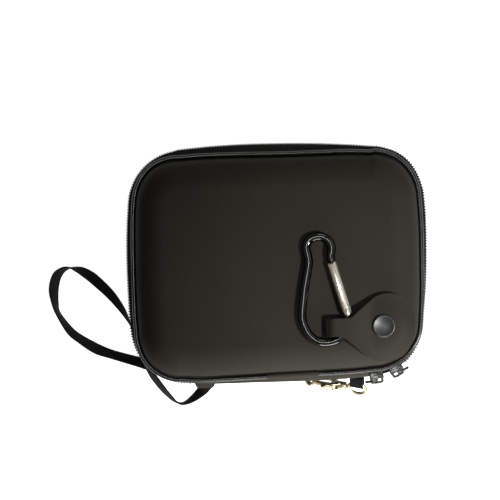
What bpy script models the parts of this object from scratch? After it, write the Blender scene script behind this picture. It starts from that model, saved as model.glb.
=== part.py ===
"""Small zip-round hard case with a wrist strap, a trigger clasp and a clip-on carabiner.

The case lies on its back. X runs to the right of the front face, Y to its top edge and
Z out of it, with the origin under the middle of the back. Sizes are in metres.
"""

import math

import bmesh
import bpy
from mathutils import Matrix, Vector

MM = 0.001
GAP = 0.3 * MM

# Outlines of the shells' rims, of the piping and of the zip band, which bellies out along
# the long edges: four crowned edges joined by tangent corner arcs
RIM_SIZE = (149.5 * MM, 115.0 * MM)
PIPING_SIZE = (149.2 * MM, 116.2 * MM)
BAND_SIZE = (147.6 * MM, 117.6 * MM)
LONG_CROWN = 529.0 * MM
SIDE_CROWN = 393.0 * MM
CORNER_RADIUS = 24.0 * MM
CORNER_STEPS = 7

# Heights over the table and the make-up of a shell
CASE_DEPTH = 46.0 * MM
SHELL_DEPTH = 16.0 * MM
BACK_RIM = SHELL_DEPTH
FRONT_RIM = CASE_DEPTH - SHELL_DEPTH
BAND_MIDDLE = CASE_DEPTH / 2
SHOULDER = 15.0 * MM
SHELL_WALL = 3.0 * MM
LINING_WALL = 1.0 * MM
LINING_GAP = 0.3 * MM

# Piping and zip, as outsets from their outlines and heights from the middle of the band
PIPING_RADIUS = 1.2 * MM
PIPING_OUTSET = 1.5 * MM
SLEEVE_RADIUS = 1.45 * MM
SLEEVE_LEFT = -6.0 * MM
SLEEVE_RIGHT = 21.5 * MM
TAPE_THICKNESS = 0.6 * MM
COIL_OUTSET = 4.3 * MM
COIL_HEIGHT = 1.15 * MM
COIL_RADIUS = 0.8 * MM
ZIP_LEFT = -45.6 * MM
ZIP_RIGHT = 47.0 * MM
SPINE_LEFT = -45.2 * MM
SPINE_RIGHT = 46.6 * MM
SPINE_THICKNESS = 0.8 * MM
LID_AXIS_Y = -62.7 * MM

# Zip sliders, riding the lower right corner arc
SLIDER_ANGLE = math.radians(15)
LOWER_SLIDER = math.radians(-82.5)
UPPER_SLIDER = math.radians(-60.5)
SLIDER_CLEAR = math.radians(-50)
BAIL_RADIUS = 0.5 * MM
PULL_OUTSET = 7.15 * MM
PULL_LENGTH = 6.4 * MM
PULL_HALF_WIDTH = 2.1 * MM
PULL_THICKNESS = 0.9 * MM

# Press-stud flap: a fold on the left, a neck over the carabiner and a round end
FOLD_X = 26.3 * MM
FOLD_Z = CASE_DEPTH + 1.7 * MM
LEATHER = 1.1 * MM
FLAP_X = 56.0 * MM
FLAP_Y = -34.0 * MM
FLAP_RADIUS = 18.0 * MM
FLAP_RIGHT_REACH = 15.6 * MM
FLAP_LOWER_REACH = 17.2 * MM
NECK_HALF_WIDTH = 5.2 * MM
NECK_FILLET = 5.0 * MM
SNAP_STACK = 3.3 * MM
SNAP_FLAT = 6.5 * MM
FLAP_EDGE_LIFT = 0.6 * MM
HUMP_HEIGHT = CASE_DEPTH + 5.65 * MM

# Carabiner, in its own plane: X along the straight bar and Y to the left of it
BAR_X = 35.6 * MM
BAR_Y = -34.7 * MM
BAR_Z = CASE_DEPTH + 3.3 * MM
BAR_TURN = math.radians(71.3)
CARABINER_DIP = math.radians(-2.4)
WIRE_RADIUS = 1.75 * MM
GATE_RADIUS = 2.0 * MM
GATE_PIVOT = (8.5 * MM, 0.8 * MM)
GATE_TURN = math.radians(34.8)
GATE_TIP = 26.5 * MM
GATE_SLOT = 2.0 * MM
TONGUE_THICKNESS = 1.5 * MM
RIVET_RADIUS = 0.6 * MM

# Trigger clasp: the middle of its eye, the way it points and the way its tab droops
EYE_CENTRE = Vector((42.0, -67.6, 13.2)) * MM
CLASP_AIM = Vector((-0.95, 0.19, -0.24)).normalized()
TAB_DROOP = Vector((0.0, -0.75, -0.66))
CLASP_ROLL = math.radians(50)
EYE_HALF_WIDTH = 4.7 * MM
EYE_HALF_HEIGHT = 3.6 * MM
EYE_WIRE = 0.85 * MM
HOOK_WIRE = 1.4 * MM
CLASP_TAB_WIDTH = 7.0 * MM
CLASP_TAB_WALL = 0.9 * MM
CLASP_TAB_SLOT = 2.3 * MM
CLASP_TAB_REACH = 5.15 * MM

# Wrist strap and the tab that holds one end of it; the other is stitched under the rim
STRAP_WIDTH = 6.4 * MM
STRAP_THICKNESS = 0.9 * MM
STRAP_TAB_ROOT = Vector((-39.5, -62.3, 18.9)) * MM
STRAP_TAB_DROOP = Vector((0.0, -0.8, -0.6))
STRAP_TAB_WIDTH = 9.4 * MM
STRAP_TAB_LENGTH = 5.8 * MM
STRAP_TAB_WALL = 0.9 * MM
STRAP_TAB_SLOT = 1.5 * MM

FINISHES = {
    "moulded": ((0.030, 0.028, 0.023), 0.55, 0.0),
    "lining": ((0.012, 0.012, 0.013), 0.90, 0.0),
    "gloss": ((0.010, 0.010, 0.009), 0.22, 0.0),
    "webbing": ((0.005, 0.005, 0.006), 0.85, 0.0),
    "zip": ((0.008, 0.008, 0.008), 0.45, 0.0),
    "leather": ((0.040, 0.037, 0.028), 0.50, 0.0),
    "dark_nickel": ((0.100, 0.100, 0.095), 0.25, 1.0),
    "black_metal": ((0.030, 0.030, 0.030), 0.20, 1.0),
    "bright_metal": ((0.800, 0.790, 0.760), 0.20, 1.0),
    "pale_gold": ((0.720, 0.620, 0.400), 0.25, 1.0),
}


def clear_scene():
    for item in list(bpy.data.objects):
        bpy.data.objects.remove(item, do_unlink=True)


def new_collection(name):
    group = bpy.data.collections.new(name)
    bpy.context.scene.collection.children.link(group)
    return group


clear_scene()
PARTS = new_collection("zip_case")
CUTTERS = new_collection("cutters")


# Objects, materials and modifiers

def new_material(name, finish):
    colour, roughness, metallic = FINISHES[finish]
    material = bpy.data.materials.new(name)
    material.use_nodes = True
    shader = material.node_tree.nodes["Principled BSDF"]
    shader.inputs["Base Color"].default_value = (*colour, 1.0)
    shader.inputs["Roughness"].default_value = roughness
    shader.inputs["Metallic"].default_value = metallic
    material.diffuse_color = (*colour, 1.0)
    return material


def new_object(name, data):
    item = bpy.data.objects.new(name, data)
    PARTS.objects.link(item)
    return item


def dress(item, finish):
    """Give a finished sub-part its own material and smooth shading."""
    item.data.materials.clear()
    item.data.materials.append(new_material(item.name, finish))
    if item.type == "MESH":
        item.data.shade_smooth()
        item.data.set_sharp_from_angle(angle=math.radians(35))
    return item


def pivot(name, matrix, parent=None):
    """Empty on a joint's axis, which carries the pieces that turn there."""
    empty = bpy.data.objects.new(name, None)
    PARTS.objects.link(empty)
    empty.empty_display_size = 5 * MM
    empty.parent = parent
    empty.matrix_world = matrix
    bpy.context.view_layer.update()
    return empty


def carry(item, holder):
    """Parent a piece that was built in world coordinates, and leave it where it is."""
    item.parent = holder
    item.matrix_parent_inverse = holder.matrix_world.inverted()
    return item


def boolean(target, tool, operation="DIFFERENCE"):
    modifier = target.modifiers.new(tool.name, "BOOLEAN")
    modifier.operation = operation
    modifier.object = tool
    if tool.name in PARTS.objects:
        PARTS.objects.unlink(tool)
        CUTTERS.objects.link(tool)
    tool.hide_render = True
    tool.display_type = "WIRE"
    return target


# Curves and meshes

def curve_object(name, outlines, closed=True, dimensions="2D"):
    data = bpy.data.curves.new(name, "CURVE")
    data.dimensions = dimensions
    for points in outlines:
        spline = data.splines.new("POLY")
        spline.points.add(len(points) - 1)
        for slot, point in zip(spline.points, points):
            slot.co = (*Vector(point).to_3d(), 1.0)
        spline.use_cyclic_u = closed
    if dimensions == "2D":
        data.fill_mode = "NONE"
    return new_object(name, data)


def mesh_of(curve):
    """Welded mesh object that takes a curve's name and place."""
    graph = bpy.context.evaluated_depsgraph_get()
    mesh = bpy.data.meshes.new_from_object(curve.evaluated_get(graph))
    net = bmesh.new()
    net.from_mesh(mesh)
    bmesh.ops.remove_doubles(net, verts=net.verts, dist=0.001 * MM)
    bmesh.ops.dissolve_degenerate(net, edges=net.edges, dist=0.001 * MM)
    bmesh.ops.recalc_face_normals(net, faces=net.faces)
    net.to_mesh(mesh)
    net.free()
    name, matrix = curve.name, curve.matrix_world.copy()
    bpy.data.objects.remove(curve, do_unlink=True)
    item = new_object(name, mesh)
    item.matrix_world = matrix
    return item


def mesh_object(name, net, matrix=None):
    mesh = bpy.data.meshes.new(name)
    net.to_mesh(mesh)
    net.free()
    item = new_object(name, mesh)
    if matrix is not None:
        item.matrix_local = matrix
    return item


def plate(name, outlines, thickness, matrix=None):
    """Flat outline, with any holes, made a plate about its own XY plane."""
    curve = curve_object(name, outlines)
    curve.data.fill_mode = "BOTH"
    curve.data.extrude = thickness / 2
    item = mesh_of(curve)
    if matrix is not None:
        item.matrix_local = matrix
    return item


def wire(name, points, radius, closed=False, scales=None, resolution=2):
    """Round wire along a route of points."""
    curve = curve_object(name, [points], closed, "3D")
    curve.data.fill_mode = "FULL"
    curve.data.bevel_depth = radius
    curve.data.bevel_resolution = resolution
    curve.data.use_fill_caps = not closed
    for slot, scale in zip(curve.data.splines[0].points, scales or []):
        slot.radius = scale
    return mesh_of(curve)


def rod(name, radius, low, high, matrix=None, sides=16):
    """Cylinder along its own Z axis from one height to another."""
    net = bmesh.new()
    middle = Matrix.Translation((0, 0, (low + high) / 2))
    bmesh.ops.create_cone(net, cap_ends=True, segments=sides, radius1=radius, radius2=radius,
                          depth=high - low, matrix=middle)
    return mesh_object(name, net, matrix)


def block(name, low, high, matrix=None):
    net = bmesh.new()
    low, high = Vector(low), Vector(high)
    place = Matrix.Translation((low + high) / 2) @ Matrix.Diagonal((*(high - low), 1.0))
    bmesh.ops.create_cube(net, size=1.0, matrix=place)
    return mesh_object(name, net, matrix)


def turned(name, profile, matrix=None, closed=False, steps=20):
    """Profile of (radius, height) points, turned about its own Z axis."""
    count = len(profile)
    edges = [(i, i + 1) for i in range(count - 1)]
    if closed:
        edges.append((count - 1, 0))
    mesh = bpy.data.meshes.new(name)
    mesh.from_pydata([(radius, 0, height) for radius, height in profile], edges, [])
    item = new_object(name, mesh)
    screw = item.modifiers.new("Turn", "SCREW")
    screw.steps = steps
    screw.render_steps = steps
    screw.use_merge_vertices = True
    screw.merge_threshold = 0.001 * MM
    if matrix is not None:
        item.matrix_local = matrix
    return item


def axes(origin, x, y):
    """Placement whose first two axes are given directions, at right angles."""
    x = Vector(x).normalized()
    z = x.cross(Vector(y)).normalized()
    y = z.cross(x)
    turn = Matrix((x, y, z)).transposed().to_4x4()
    return Matrix.Translation(origin) @ turn


def arc(centre, radius, start, end, steps):
    """Points on an arc, ends included, with angles in degrees."""
    across, up = radius if isinstance(radius, tuple) else (radius, radius)
    angles = [math.radians(start + (end - start) * i / steps) for i in range(steps + 1)]
    return [(centre[0] + across * math.cos(a), centre[1] + up * math.sin(a)) for a in angles]


def circle(centre, radius, sides=16):
    return arc(centre, radius, 0, 360, sides)[:-1]


def smooth_route(stations, steps):
    """Points of a smooth curve through stations of any number of coordinates."""
    ends = [stations[0]] + list(stations) + [stations[-1]]
    route = []
    for before, here, there, after in zip(ends, ends[1:], ends[2:], ends[3:]):
        for i in range(steps):
            t = i / steps
            route.append(tuple(
                b + 0.5 * t * (c - a + t * (2 * a - 5 * b + 4 * c - d + t * (3 * b - a - 3 * c + d)))
                for a, b, c, d in zip(before, here, there, after)))
    return route + [tuple(stations[-1])]


# The case's outlines

class Outline:
    """Rounded oblong with crowned edges, addressed by the angle of its outward normal."""

    def __init__(self, size):
        self.half_width, self.half_height = size[0] / 2, size[1] / 2
        self.corner = self.corner_arc_centre()
        self.long_span = math.atan2(self.corner.x, self.corner.y - self.half_height + LONG_CROWN)
        self.side_span = math.atan2(self.corner.y, self.corner.x - self.half_width + SIDE_CROWN)

    def corner_arc_centre(self):
        """Centre of the corner arc that touches a long edge and a side edge."""
        long_centre = Vector((0, self.half_height - LONG_CROWN))
        side_centre = Vector((self.half_width - SIDE_CROWN, 0))
        long_reach = LONG_CROWN - CORNER_RADIUS
        side_reach = SIDE_CROWN - CORNER_RADIUS
        line = side_centre - long_centre
        along = (long_reach ** 2 - side_reach ** 2 + line.length_squared) / (2 * line.length)
        away = math.sqrt(long_reach ** 2 - along ** 2)
        line.normalize()
        return long_centre + line * along + Vector((line.y, -line.x)) * away

    def point(self, normal, outset=0.0):
        across, up = math.cos(normal), math.sin(normal)
        if abs(across) < math.sin(self.long_span):
            centre = (0, math.copysign(self.half_height - LONG_CROWN, -up))
            radius = LONG_CROWN
        elif abs(up) < math.sin(self.side_span):
            centre = (math.copysign(self.half_width - SIDE_CROWN, -across), 0)
            radius = SIDE_CROWN
        else:
            centre = (math.copysign(self.corner.x, across), math.copysign(self.corner.y, up))
            radius = CORNER_RADIUS
        return (centre[0] + (radius + outset) * across, centre[1] + (radius + outset) * up)

    def outset(self, x, y):
        """How far a point lies outside the outline, negative inside it."""
        x, y = abs(x), abs(y)
        turn = math.atan2(y - self.corner.y, x - self.corner.x)
        if self.side_span < turn < math.pi / 2 - self.long_span:
            return math.hypot(x - self.corner.x, y - self.corner.y) - CORNER_RADIUS
        over = math.hypot(x, y - self.half_height + LONG_CROWN) - LONG_CROWN
        beside = math.hypot(x - self.half_width + SIDE_CROWN, y) - SIDE_CROWN
        return max(over, beside)

    def normals(self, start, end):
        """Angles from start to end, close together round the corners."""
        corner_end = math.pi / 2 - self.long_span
        arc_span = corner_end - self.side_span
        quarter = [self.side_span * i / 2 for i in range(2)]
        quarter += [self.side_span + arc_span * i / CORNER_STEPS for i in range(CORNER_STEPS)]
        quarter += [corner_end + self.long_span * i / 3 for i in range(4)]
        turns = {round(v % math.tau, 6) for a in quarter for v in (a, math.pi - a, math.pi + a, -a)}
        near = 0.004
        inner = [a + math.tau * k for k in (-1, 0, 1) for a in sorted(turns)]
        return [start] + [a for a in inner if start + near < a < end - near] + [end]


RIM = Outline(RIM_SIZE)
PIPING = Outline(PIPING_SIZE)
BAND = Outline(BAND_SIZE)
CORNER = BAND.corner


def bottom_normal(x):
    """Angle of the normal at a place along the bottom edge."""
    return -math.pi / 2 + math.asin(x / LONG_CROWN)


def sweep(name, finish, outline, section, start, end):
    """Section of (outset, height) points carried along an outline from one normal to another."""
    path = curve_object(name, [[outline.point(a) for a in outline.normals(start, end)]], closed=False)
    guide = curve_object(name + "_section", [section])
    path.data.bevel_mode = "OBJECT"
    path.data.bevel_object = guide
    path.data.use_fill_caps = True
    solid = mesh_of(path)
    bpy.data.objects.remove(guide, do_unlink=True)
    return dress(solid, finish)


def strip_section(points, thickness):
    """Closed section of a strip that follows a bent line."""
    line = [Vector(p) for p in points]
    ways = [(b - a).normalized() for a, b in zip(line, line[1:])]
    sides = []
    for before, after in zip([ways[0]] + ways, ways + [ways[-1]]):
        middle = (before + after).normalized()
        sides.append(Vector((-middle.y, middle.x)) * thickness / 2 / middle.dot(after))
    left = [p + s for p, s in zip(line, sides)]
    right = [p - s for p, s in zip(line, sides)]
    return left + right[::-1]


def flipped(section):
    """The same section on the back half of the case."""
    return [(outset, CASE_DEPTH - height) for outset, height in section][::-1]


# Shells, linings and their edges

def cup(name, finish, inset, wall, rows):
    """Open shell with a flat face and a quarter-round shoulder, rim on the XY plane."""
    outline = [RIM.point(a, -SHOULDER) for a in RIM.normals(0, math.tau)[:-1]]
    curve = curve_object(name, [outline])
    curve.data.fill_mode = "BOTH"
    curve.data.extrude = SHELL_DEPTH - SHOULDER
    curve.data.bevel_depth = SHOULDER - inset
    curve.data.bevel_resolution = rows
    item = mesh_of(curve)
    net = bmesh.new()
    net.from_mesh(item.data)
    everything = net.verts[:] + net.edges[:] + net.faces[:]
    bmesh.ops.bisect_plane(net, geom=everything, plane_no=(0, 0, 1), clear_inner=True)
    net.to_mesh(item.data)
    net.free()
    solidify = item.modifiers.new("Wall", "SOLIDIFY")
    solidify.thickness = wall
    solidify.use_even_offset = True
    return dress(item, finish)


def shell_pair():
    """Back shell with its face down, front shell with its face up, each with a lining."""
    face_down = Matrix.Translation((0, 0, BACK_RIM)) @ Matrix.Rotation(math.pi, 4, "X")
    face_up = Matrix.Translation((0, 0, FRONT_RIM))
    lining_inset = SHELL_WALL + LINING_GAP
    made = {}
    for side, matrix in (("back", face_down), ("front", face_up)):
        made[side + "_shell"] = cup(side + "_shell", "moulded", 0, SHELL_WALL, 3)
        made[side + "_lining"] = cup(side + "_lining", "lining", lining_inset, LINING_WALL, 3)
        made[side + "_shell"].matrix_world = matrix
        made[side + "_lining"].matrix_world = matrix
    return made


def piping_pair():
    """Piping round each rim, and a sleeve where its ends meet at the bottom edge."""
    left, right = bottom_normal(SLEEVE_LEFT), bottom_normal(SLEEVE_RIGHT)
    near = GAP / LONG_CROWN
    made = {}
    for side, height in (("back", BACK_RIM), ("front", FRONT_RIM)):
        round_section = circle((PIPING_OUTSET, height), PIPING_RADIUS, 6)
        sleeve_section = circle((PIPING_OUTSET, height), SLEEVE_RADIUS, 10)
        made[side + "_piping"] = sweep(side + "_piping", "gloss", PIPING, round_section,
                                       right + near, left + math.tau - near)
        made[side + "_piping_sleeve"] = sweep(side + "_piping_sleeve", "moulded", PIPING,
                                              sleeve_section, left, right)
    return made


def zip_halves():
    """Tape from under each rim to the coil, and the coil with the tape edge it is sewn to."""
    fold = (-0.9 * MM, FRONT_RIM - 1.3 * MM)
    hem = (-2.4 * MM, FRONT_RIM - 0.7 * MM)
    edge = (2.55 * MM, FRONT_RIM - 4.4 * MM)
    tape = strip_section([hem, fold, edge], TAPE_THICKNESS)
    coil = (COIL_OUTSET, BAND_MIDDLE + COIL_HEIGHT)
    bead = arc(coil, COIL_RADIUS, -160, 85, 5)
    selvedge = [(3.15 * MM, FRONT_RIM - 4.75 * MM), (2.65 * MM, FRONT_RIM - 5.1 * MM)]
    coil_section = bead + selvedge
    start = bottom_normal(ZIP_RIGHT)
    end = bottom_normal(ZIP_LEFT) + math.tau
    return {
        "zip_tape_front": sweep("zip_tape_front", "zip", BAND, tape, start, end),
        "zip_tape_back": sweep("zip_tape_back", "zip", BAND, flipped(tape), start, end),
        "zip_coil_front": sweep("zip_coil_front", "zip", BAND, coil_section, SLIDER_CLEAR, end),
        "zip_coil_back": sweep("zip_coil_back", "zip", BAND, flipped(coil_section), start, end),
    }


def spine():
    """Flexible strip that joins the shells along the bottom edge, behind the two tabs."""
    bow = [(0.9, 5.0), (2.8, 3.7), (4.2, 1.7), (4.2, -1.7), (2.8, -3.7), (0.9, -5.0)]
    line = [(outset * MM, BAND_MIDDLE + height * MM) for outset, height in bow]
    section = strip_section(line, SPINE_THICKNESS)
    return sweep("spine_strip", "moulded", BAND, section,
                 bottom_normal(SPINE_LEFT), bottom_normal(SPINE_RIGHT))


# Inside the case

def inside():
    """Elastic band across the back half, net pocket with a bound edge in the front half."""
    band = [(-69.2 * MM, -10 * MM), (69.2 * MM, -10 * MM), (69.2 * MM, 10 * MM), (-69.2 * MM, 10 * MM)]
    retaining = plate("retaining_band", [band], 1.0 * MM, Matrix.Translation((0, 0, 12 * MM)))
    top = 20 * MM
    inset = -5.3 * MM
    turn = math.asin(top / (SIDE_CROWN + inset))
    panel = [RIM.point(a, inset) for a in RIM.normals(math.pi - turn, math.tau + turn)]
    level = Matrix.Translation((0, 0, FRONT_RIM + 4.4 * MM))
    pocket = plate("mesh_pocket", [panel], 0.8 * MM, level)
    half = 67.5 * MM
    hem = [(x, top + 1.5 * MM, FRONT_RIM + 4.4 * MM) for x in (-half, half)]
    binding = wire("pocket_binding", hem, 1.1 * MM)
    return dress(retaining, "webbing"), dress(pocket, "lining"), dress(binding, "webbing")


# Press-stud flap

def face_height(x, y):
    """Height of the front shell's outer surface."""
    reach = min(max(SHOULDER + RIM.outset(x, y), 0), SHOULDER)
    return CASE_DEPTH - SHOULDER + math.sqrt(SHOULDER ** 2 - reach ** 2)


def neck_height(x):
    """Underside of the flap's neck: up from the fold, over the carabiner's bar and down."""
    start = FOLD_Z + 0.3 * MM
    line = [(0.0, start), (27.0 * MM, start), (31.4 * MM, HUMP_HEIGHT), (40.0 * MM, HUMP_HEIGHT),
            (47.5 * MM, CASE_DEPTH + SNAP_STACK), (58.0 * MM, CASE_DEPTH)]
    for (x0, z0), (x1, z1) in zip(line, line[1:]):
        if x0 <= x < x1:
            return z0 + (z1 - z0) * (x - x0) / (x1 - x0)
    return 0.0


def flap_underside(x, y):
    """Flat under the stud, then draped towards the face and down the shoulder."""
    away = math.hypot(x - FLAP_X, y - FLAP_Y) - SNAP_FLAT
    t = min(max(away / (FLAP_RADIUS - SNAP_FLAT), 0), 1)
    share = t * t * (3 - 2 * t)
    draped = face_height(x, y) + FLAP_EDGE_LIFT
    return max((1 - share) * (CASE_DEPTH + SNAP_STACK) + share * draped, neck_height(x))


def flap_outline():
    """Round end, shorter where it bends down the shoulder, with a filleted neck."""
    centre = (FLAP_X, FLAP_Y)
    rise = NECK_HALF_WIDTH + NECK_FILLET
    run = math.sqrt((FLAP_RADIUS + NECK_FILLET) ** 2 - rise ** 2)
    turn = math.degrees(math.atan2(rise, run))
    upper = arc((FLAP_X - run, FLAP_Y + rise), NECK_FILLET, -90, -turn, 4)
    lower_scale = (FLAP_RADIUS, FLAP_LOWER_REACH)
    rounded = arc(centre, FLAP_RADIUS, 180 - turn, 90, 6)
    rounded += arc(centre, (FLAP_RIGHT_REACH, FLAP_RADIUS), 90, 0, 9)[1:]
    rounded += arc(centre, (FLAP_RIGHT_REACH, FLAP_LOWER_REACH), 0, -90, 9)[1:]
    rounded += arc(centre, lower_scale, -90, -180 + turn, 6)[1:]
    lower = arc((FLAP_X - run, FLAP_Y - rise), NECK_FILLET, turn, 90, 4)
    left = FOLD_X - 0.2 * MM
    ends = [(left, FLAP_Y - NECK_HALF_WIDTH), (left, FLAP_Y + NECK_HALF_WIDTH)]
    return ends + upper + rounded[1:-1] + lower


def snap_flap():
    net = bmesh.new()
    half = Vector((25.5, 20.5)) * MM
    middle = Matrix.Translation((FOLD_X + half.x - 0.4 * MM, FLAP_Y, 0))
    scale = Matrix.Diagonal((half.x, half.y, 1, 1))
    bmesh.ops.create_grid(net, x_segments=18, y_segments=14, size=1.0, matrix=middle @ scale)
    for vert in net.verts:
        vert.co.z = flap_underside(vert.co.x, vert.co.y)
    flap = mesh_object("snap_flap", net)
    solidify = flap.modifiers.new("Leather", "SOLIDIFY")
    solidify.thickness = LEATHER
    solidify.offset = 1.0
    prism = plate("flap_outline", [flap_outline()], 60 * MM, Matrix.Translation((0, 0, CASE_DEPTH)))
    boolean(flap, prism, "INTERSECT")
    ring = arc((0, 0), LEATHER + 0.3 * MM, 88, 300, 10) + arc((0, 0), 0.3 * MM, 300, 88, 6)
    stand = Matrix.Translation((FOLD_X, FLAP_Y, FOLD_Z)) @ Matrix.Rotation(math.pi / 2, 4, "X")
    curl = plate("flap_curl", [ring], 2 * NECK_HALF_WIDTH, stand)
    boolean(flap, curl, "UNION")
    middle = Matrix.Translation((FLAP_X, FLAP_Y, 0))
    hole = rod("cap_hole", 2.3 * MM, CASE_DEPTH, CASE_DEPTH + 9 * MM, middle)
    boolean(flap, hole)
    return dress(flap, "leather")


def snap_tail():
    """Lower layer of the flap, flat on the face and round-ended under the stud."""
    start = FOLD_X + 1.6 * MM
    end = arc((FLAP_X, FLAP_Y), NECK_HALF_WIDTH, -90, 90, 10)
    outline = [(start, FLAP_Y + NECK_HALF_WIDTH), (start, FLAP_Y - NECK_HALF_WIDTH)] + end
    hole = circle((FLAP_X, FLAP_Y), 2.0 * MM)
    level = Matrix.Translation((0, 0, CASE_DEPTH + 0.25 * MM + LEATHER / 2))
    return dress(plate("snap_tail", [outline, hole], LEATHER, level), "leather")


def press_stud():
    """Cap and socket on the flap, stud on the tail, and the post riveted through the shell."""
    place = Matrix.Translation((FLAP_X, FLAP_Y, CASE_DEPTH))
    profiles = {
        "snap_cap": [(0, 6.3), (2.6, 6.1), (4.6, 5.6), (5.8, 5.0), (6.2, 4.5),
                     (2.0, 4.5), (2.0, 3.25), (0, 3.25)],
        "snap_socket": [(2.9, 3.2), (5.0, 3.2), (5.0, 2.3), (4.6, 2.05), (2.9, 2.05)],
        "snap_stud": [(0, 3.0), (2.3, 3.0), (2.6, 2.7), (2.35, 2.1), (4.4, 1.85), (4.4, 1.45),
                      (1.95, 1.45), (1.95, 2.4), (0, 2.4)],
        "snap_post": [(0, 2.2), (1.7, 2.2), (1.7, -4.7), (3.1, -4.7), (2.7, -5.4), (0, -5.5)],
    }
    made = {}
    for name, profile in profiles.items():
        points = [(radius * MM, height * MM) for radius, height in profile]
        made[name] = dress(turned(name, points, place, name == "snap_socket"), "dark_nickel")
    return made


# Carabiner

def carabiner_frame(holder):
    """Bent wire from the nose round to the bar, with a tongue for the gate at its end."""
    ease = [(31.4, 16.7), (33.6, 17.9), (37.6, 18.5), (41.0, 21.2), (41.8, 26.2), (39.0, 30.6),
            (34.6, 31.6), (30.6, 29.6), (26.0, 27.6), (14.0, 26.0), (1.4, 23.5), (-3.6, 21.7),
            (-8.5, 17.6), (-11.0, 12.7), (-11.2, 8.4), (-9.4, 4.0), (-7.0, 1.1), (-4.6, 0.1)]
    route = smooth_route([(x * MM, y * MM, 0) for x, y in ease], 3)
    aim = Vector((math.cos(GATE_TURN), math.sin(GATE_TURN), 0))
    tip = Vector((*GATE_PIVOT, 0)) + aim * GATE_TIP
    nose = [tip - aim * 3.0 * MM, tip + aim * 0.45 * MM, tip + aim * 0.5 * MM]
    bar = [(5.2 * MM, 0, 0)]
    slim = 0.45
    scales = [slim, slim, 1.0] + [1.0] * (len(route) + 1)
    frame = wire("carabiner_frame", nose + route + bar, WIRE_RADIUS, scales=scales)
    reach = arc(GATE_PIVOT, 1.4 * MM, -60, 120, 8)
    root = [(4.5 * MM, 1.2 * MM), (4.5 * MM, -1.2 * MM)]
    tongue = plate("gate_tongue", [root + reach], TONGUE_THICKNESS)
    hole = rod("frame_rivet_hole", RIVET_RADIUS + 0.15 * MM, -4 * MM, 4 * MM,
               Matrix.Translation((*GATE_PIVOT, 0)), 12)
    for item in (frame, tongue, hole):
        item.parent = holder
    boolean(frame, tongue, "UNION")
    boolean(frame, hole)
    rivet = rod("gate_rivet", RIVET_RADIUS, -GATE_RADIUS, GATE_RADIUS,
                Matrix.Translation((*GATE_PIVOT, 0)), 12)
    rivet.parent = holder
    return dress(frame, "black_metal"), dress(rivet, "dark_nickel")


def carabiner_gate(holder):
    """Tube along its own X axis, rounded and forked at the pivot and slotted for the nose."""
    along = Matrix.Rotation(math.pi / 2, 4, "Y")
    gate = rod("carabiner_gate", GATE_RADIUS, -GATE_RADIUS, GATE_TIP, along, 16)
    wide = 3 * MM
    beyond = GATE_TIP + wide
    side = arc((0, 0), GATE_RADIUS, 90, 270, 10) + [(beyond, -wide), (beyond, wide)]
    rounded = plate("gate_side", [side], 2 * wide)
    half = GATE_SLOT / 2
    fork = block("gate_fork", (-2 * wide, -wide, -half), (2.0 * MM, wide, half))
    slot = block("gate_nose_slot", (GATE_TIP - 3.5 * MM, -wide, -half), (GATE_TIP + wide, wide, half))
    hole = rod("gate_rivet_hole", RIVET_RADIUS + 0.15 * MM, -4 * MM, 4 * MM, None, 12)
    for item in (gate, rounded, fork, slot, hole):
        item.parent = holder
    boolean(gate, rounded, "INTERSECT")
    for tool in (fork, slot, hole):
        boolean(gate, tool)
    return dress(gate, "bright_metal")


def carabiner(lid):
    turn = Matrix.Rotation(BAR_TURN, 4, "Z") @ Matrix.Rotation(CARABINER_DIP, 4, "X")
    holder = pivot("carabiner_axis", Matrix.Translation((BAR_X, BAR_Y, BAR_Z)) @ turn, lid)
    carabiner_frame(holder)
    gate_place = Matrix.Translation((*GATE_PIVOT, 0)) @ Matrix.Rotation(GATE_TURN, 4, "Z")
    gate_axis = pivot("gate_axis", holder.matrix_world @ gate_place, holder)
    carabiner_gate(gate_axis)


# Zip sliders

def slider_section():
    """Half of the slider's section: outer plate, thin web between the coils, inner plate."""
    return [(1.5, 0.0), (1.5, 1.7), (2.5, 1.7), (2.5, 0.2), (5.45, 0.2), (5.45, 2.3), (4.4, 2.3),
            (4.4, 3.1), (6.1, 3.1), (6.45, 2.7), (6.45, 0.0)]


def slider_body(name, holder):
    """Section spun about the corner's centre, with a bail on top for the pull."""
    half = [(CORNER_RADIUS + outset * MM, height * MM) for outset, height in slider_section()]
    outline = half + [(radius, -height) for radius, height in half[-2:0:-1]]
    net = bmesh.new()
    start = Matrix.Rotation(-SLIDER_ANGLE / 2, 3, "Z")
    face = net.faces.new([net.verts.new(start @ Vector((radius, 0, height))) for radius, height in outline])
    bmesh.ops.spin(net, geom=[face] + face.verts[:] + face.edges[:], angle=SLIDER_ANGLE, steps=4,
                   axis=(0, 0, 1), cent=(0, 0, 0))
    bmesh.ops.recalc_face_normals(net, faces=net.faces)
    body = mesh_object(name, net)
    legs = [(-5.4, 6.1), (-5.2, 7.6), (-4.0, 8.4), (4.0, 8.4), (5.2, 7.6), (5.4, 6.1)]
    route = []
    for angle, outset in legs:
        radius = CORNER_RADIUS + outset * MM
        route.append((radius * math.cos(math.radians(angle)), radius * math.sin(math.radians(angle)), 0))
    bail = wire(name + "_bail", route, BAIL_RADIUS)
    body.parent = holder
    bail.parent = holder
    boolean(body, bail, "UNION")
    return dress(body, "dark_nickel")


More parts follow.
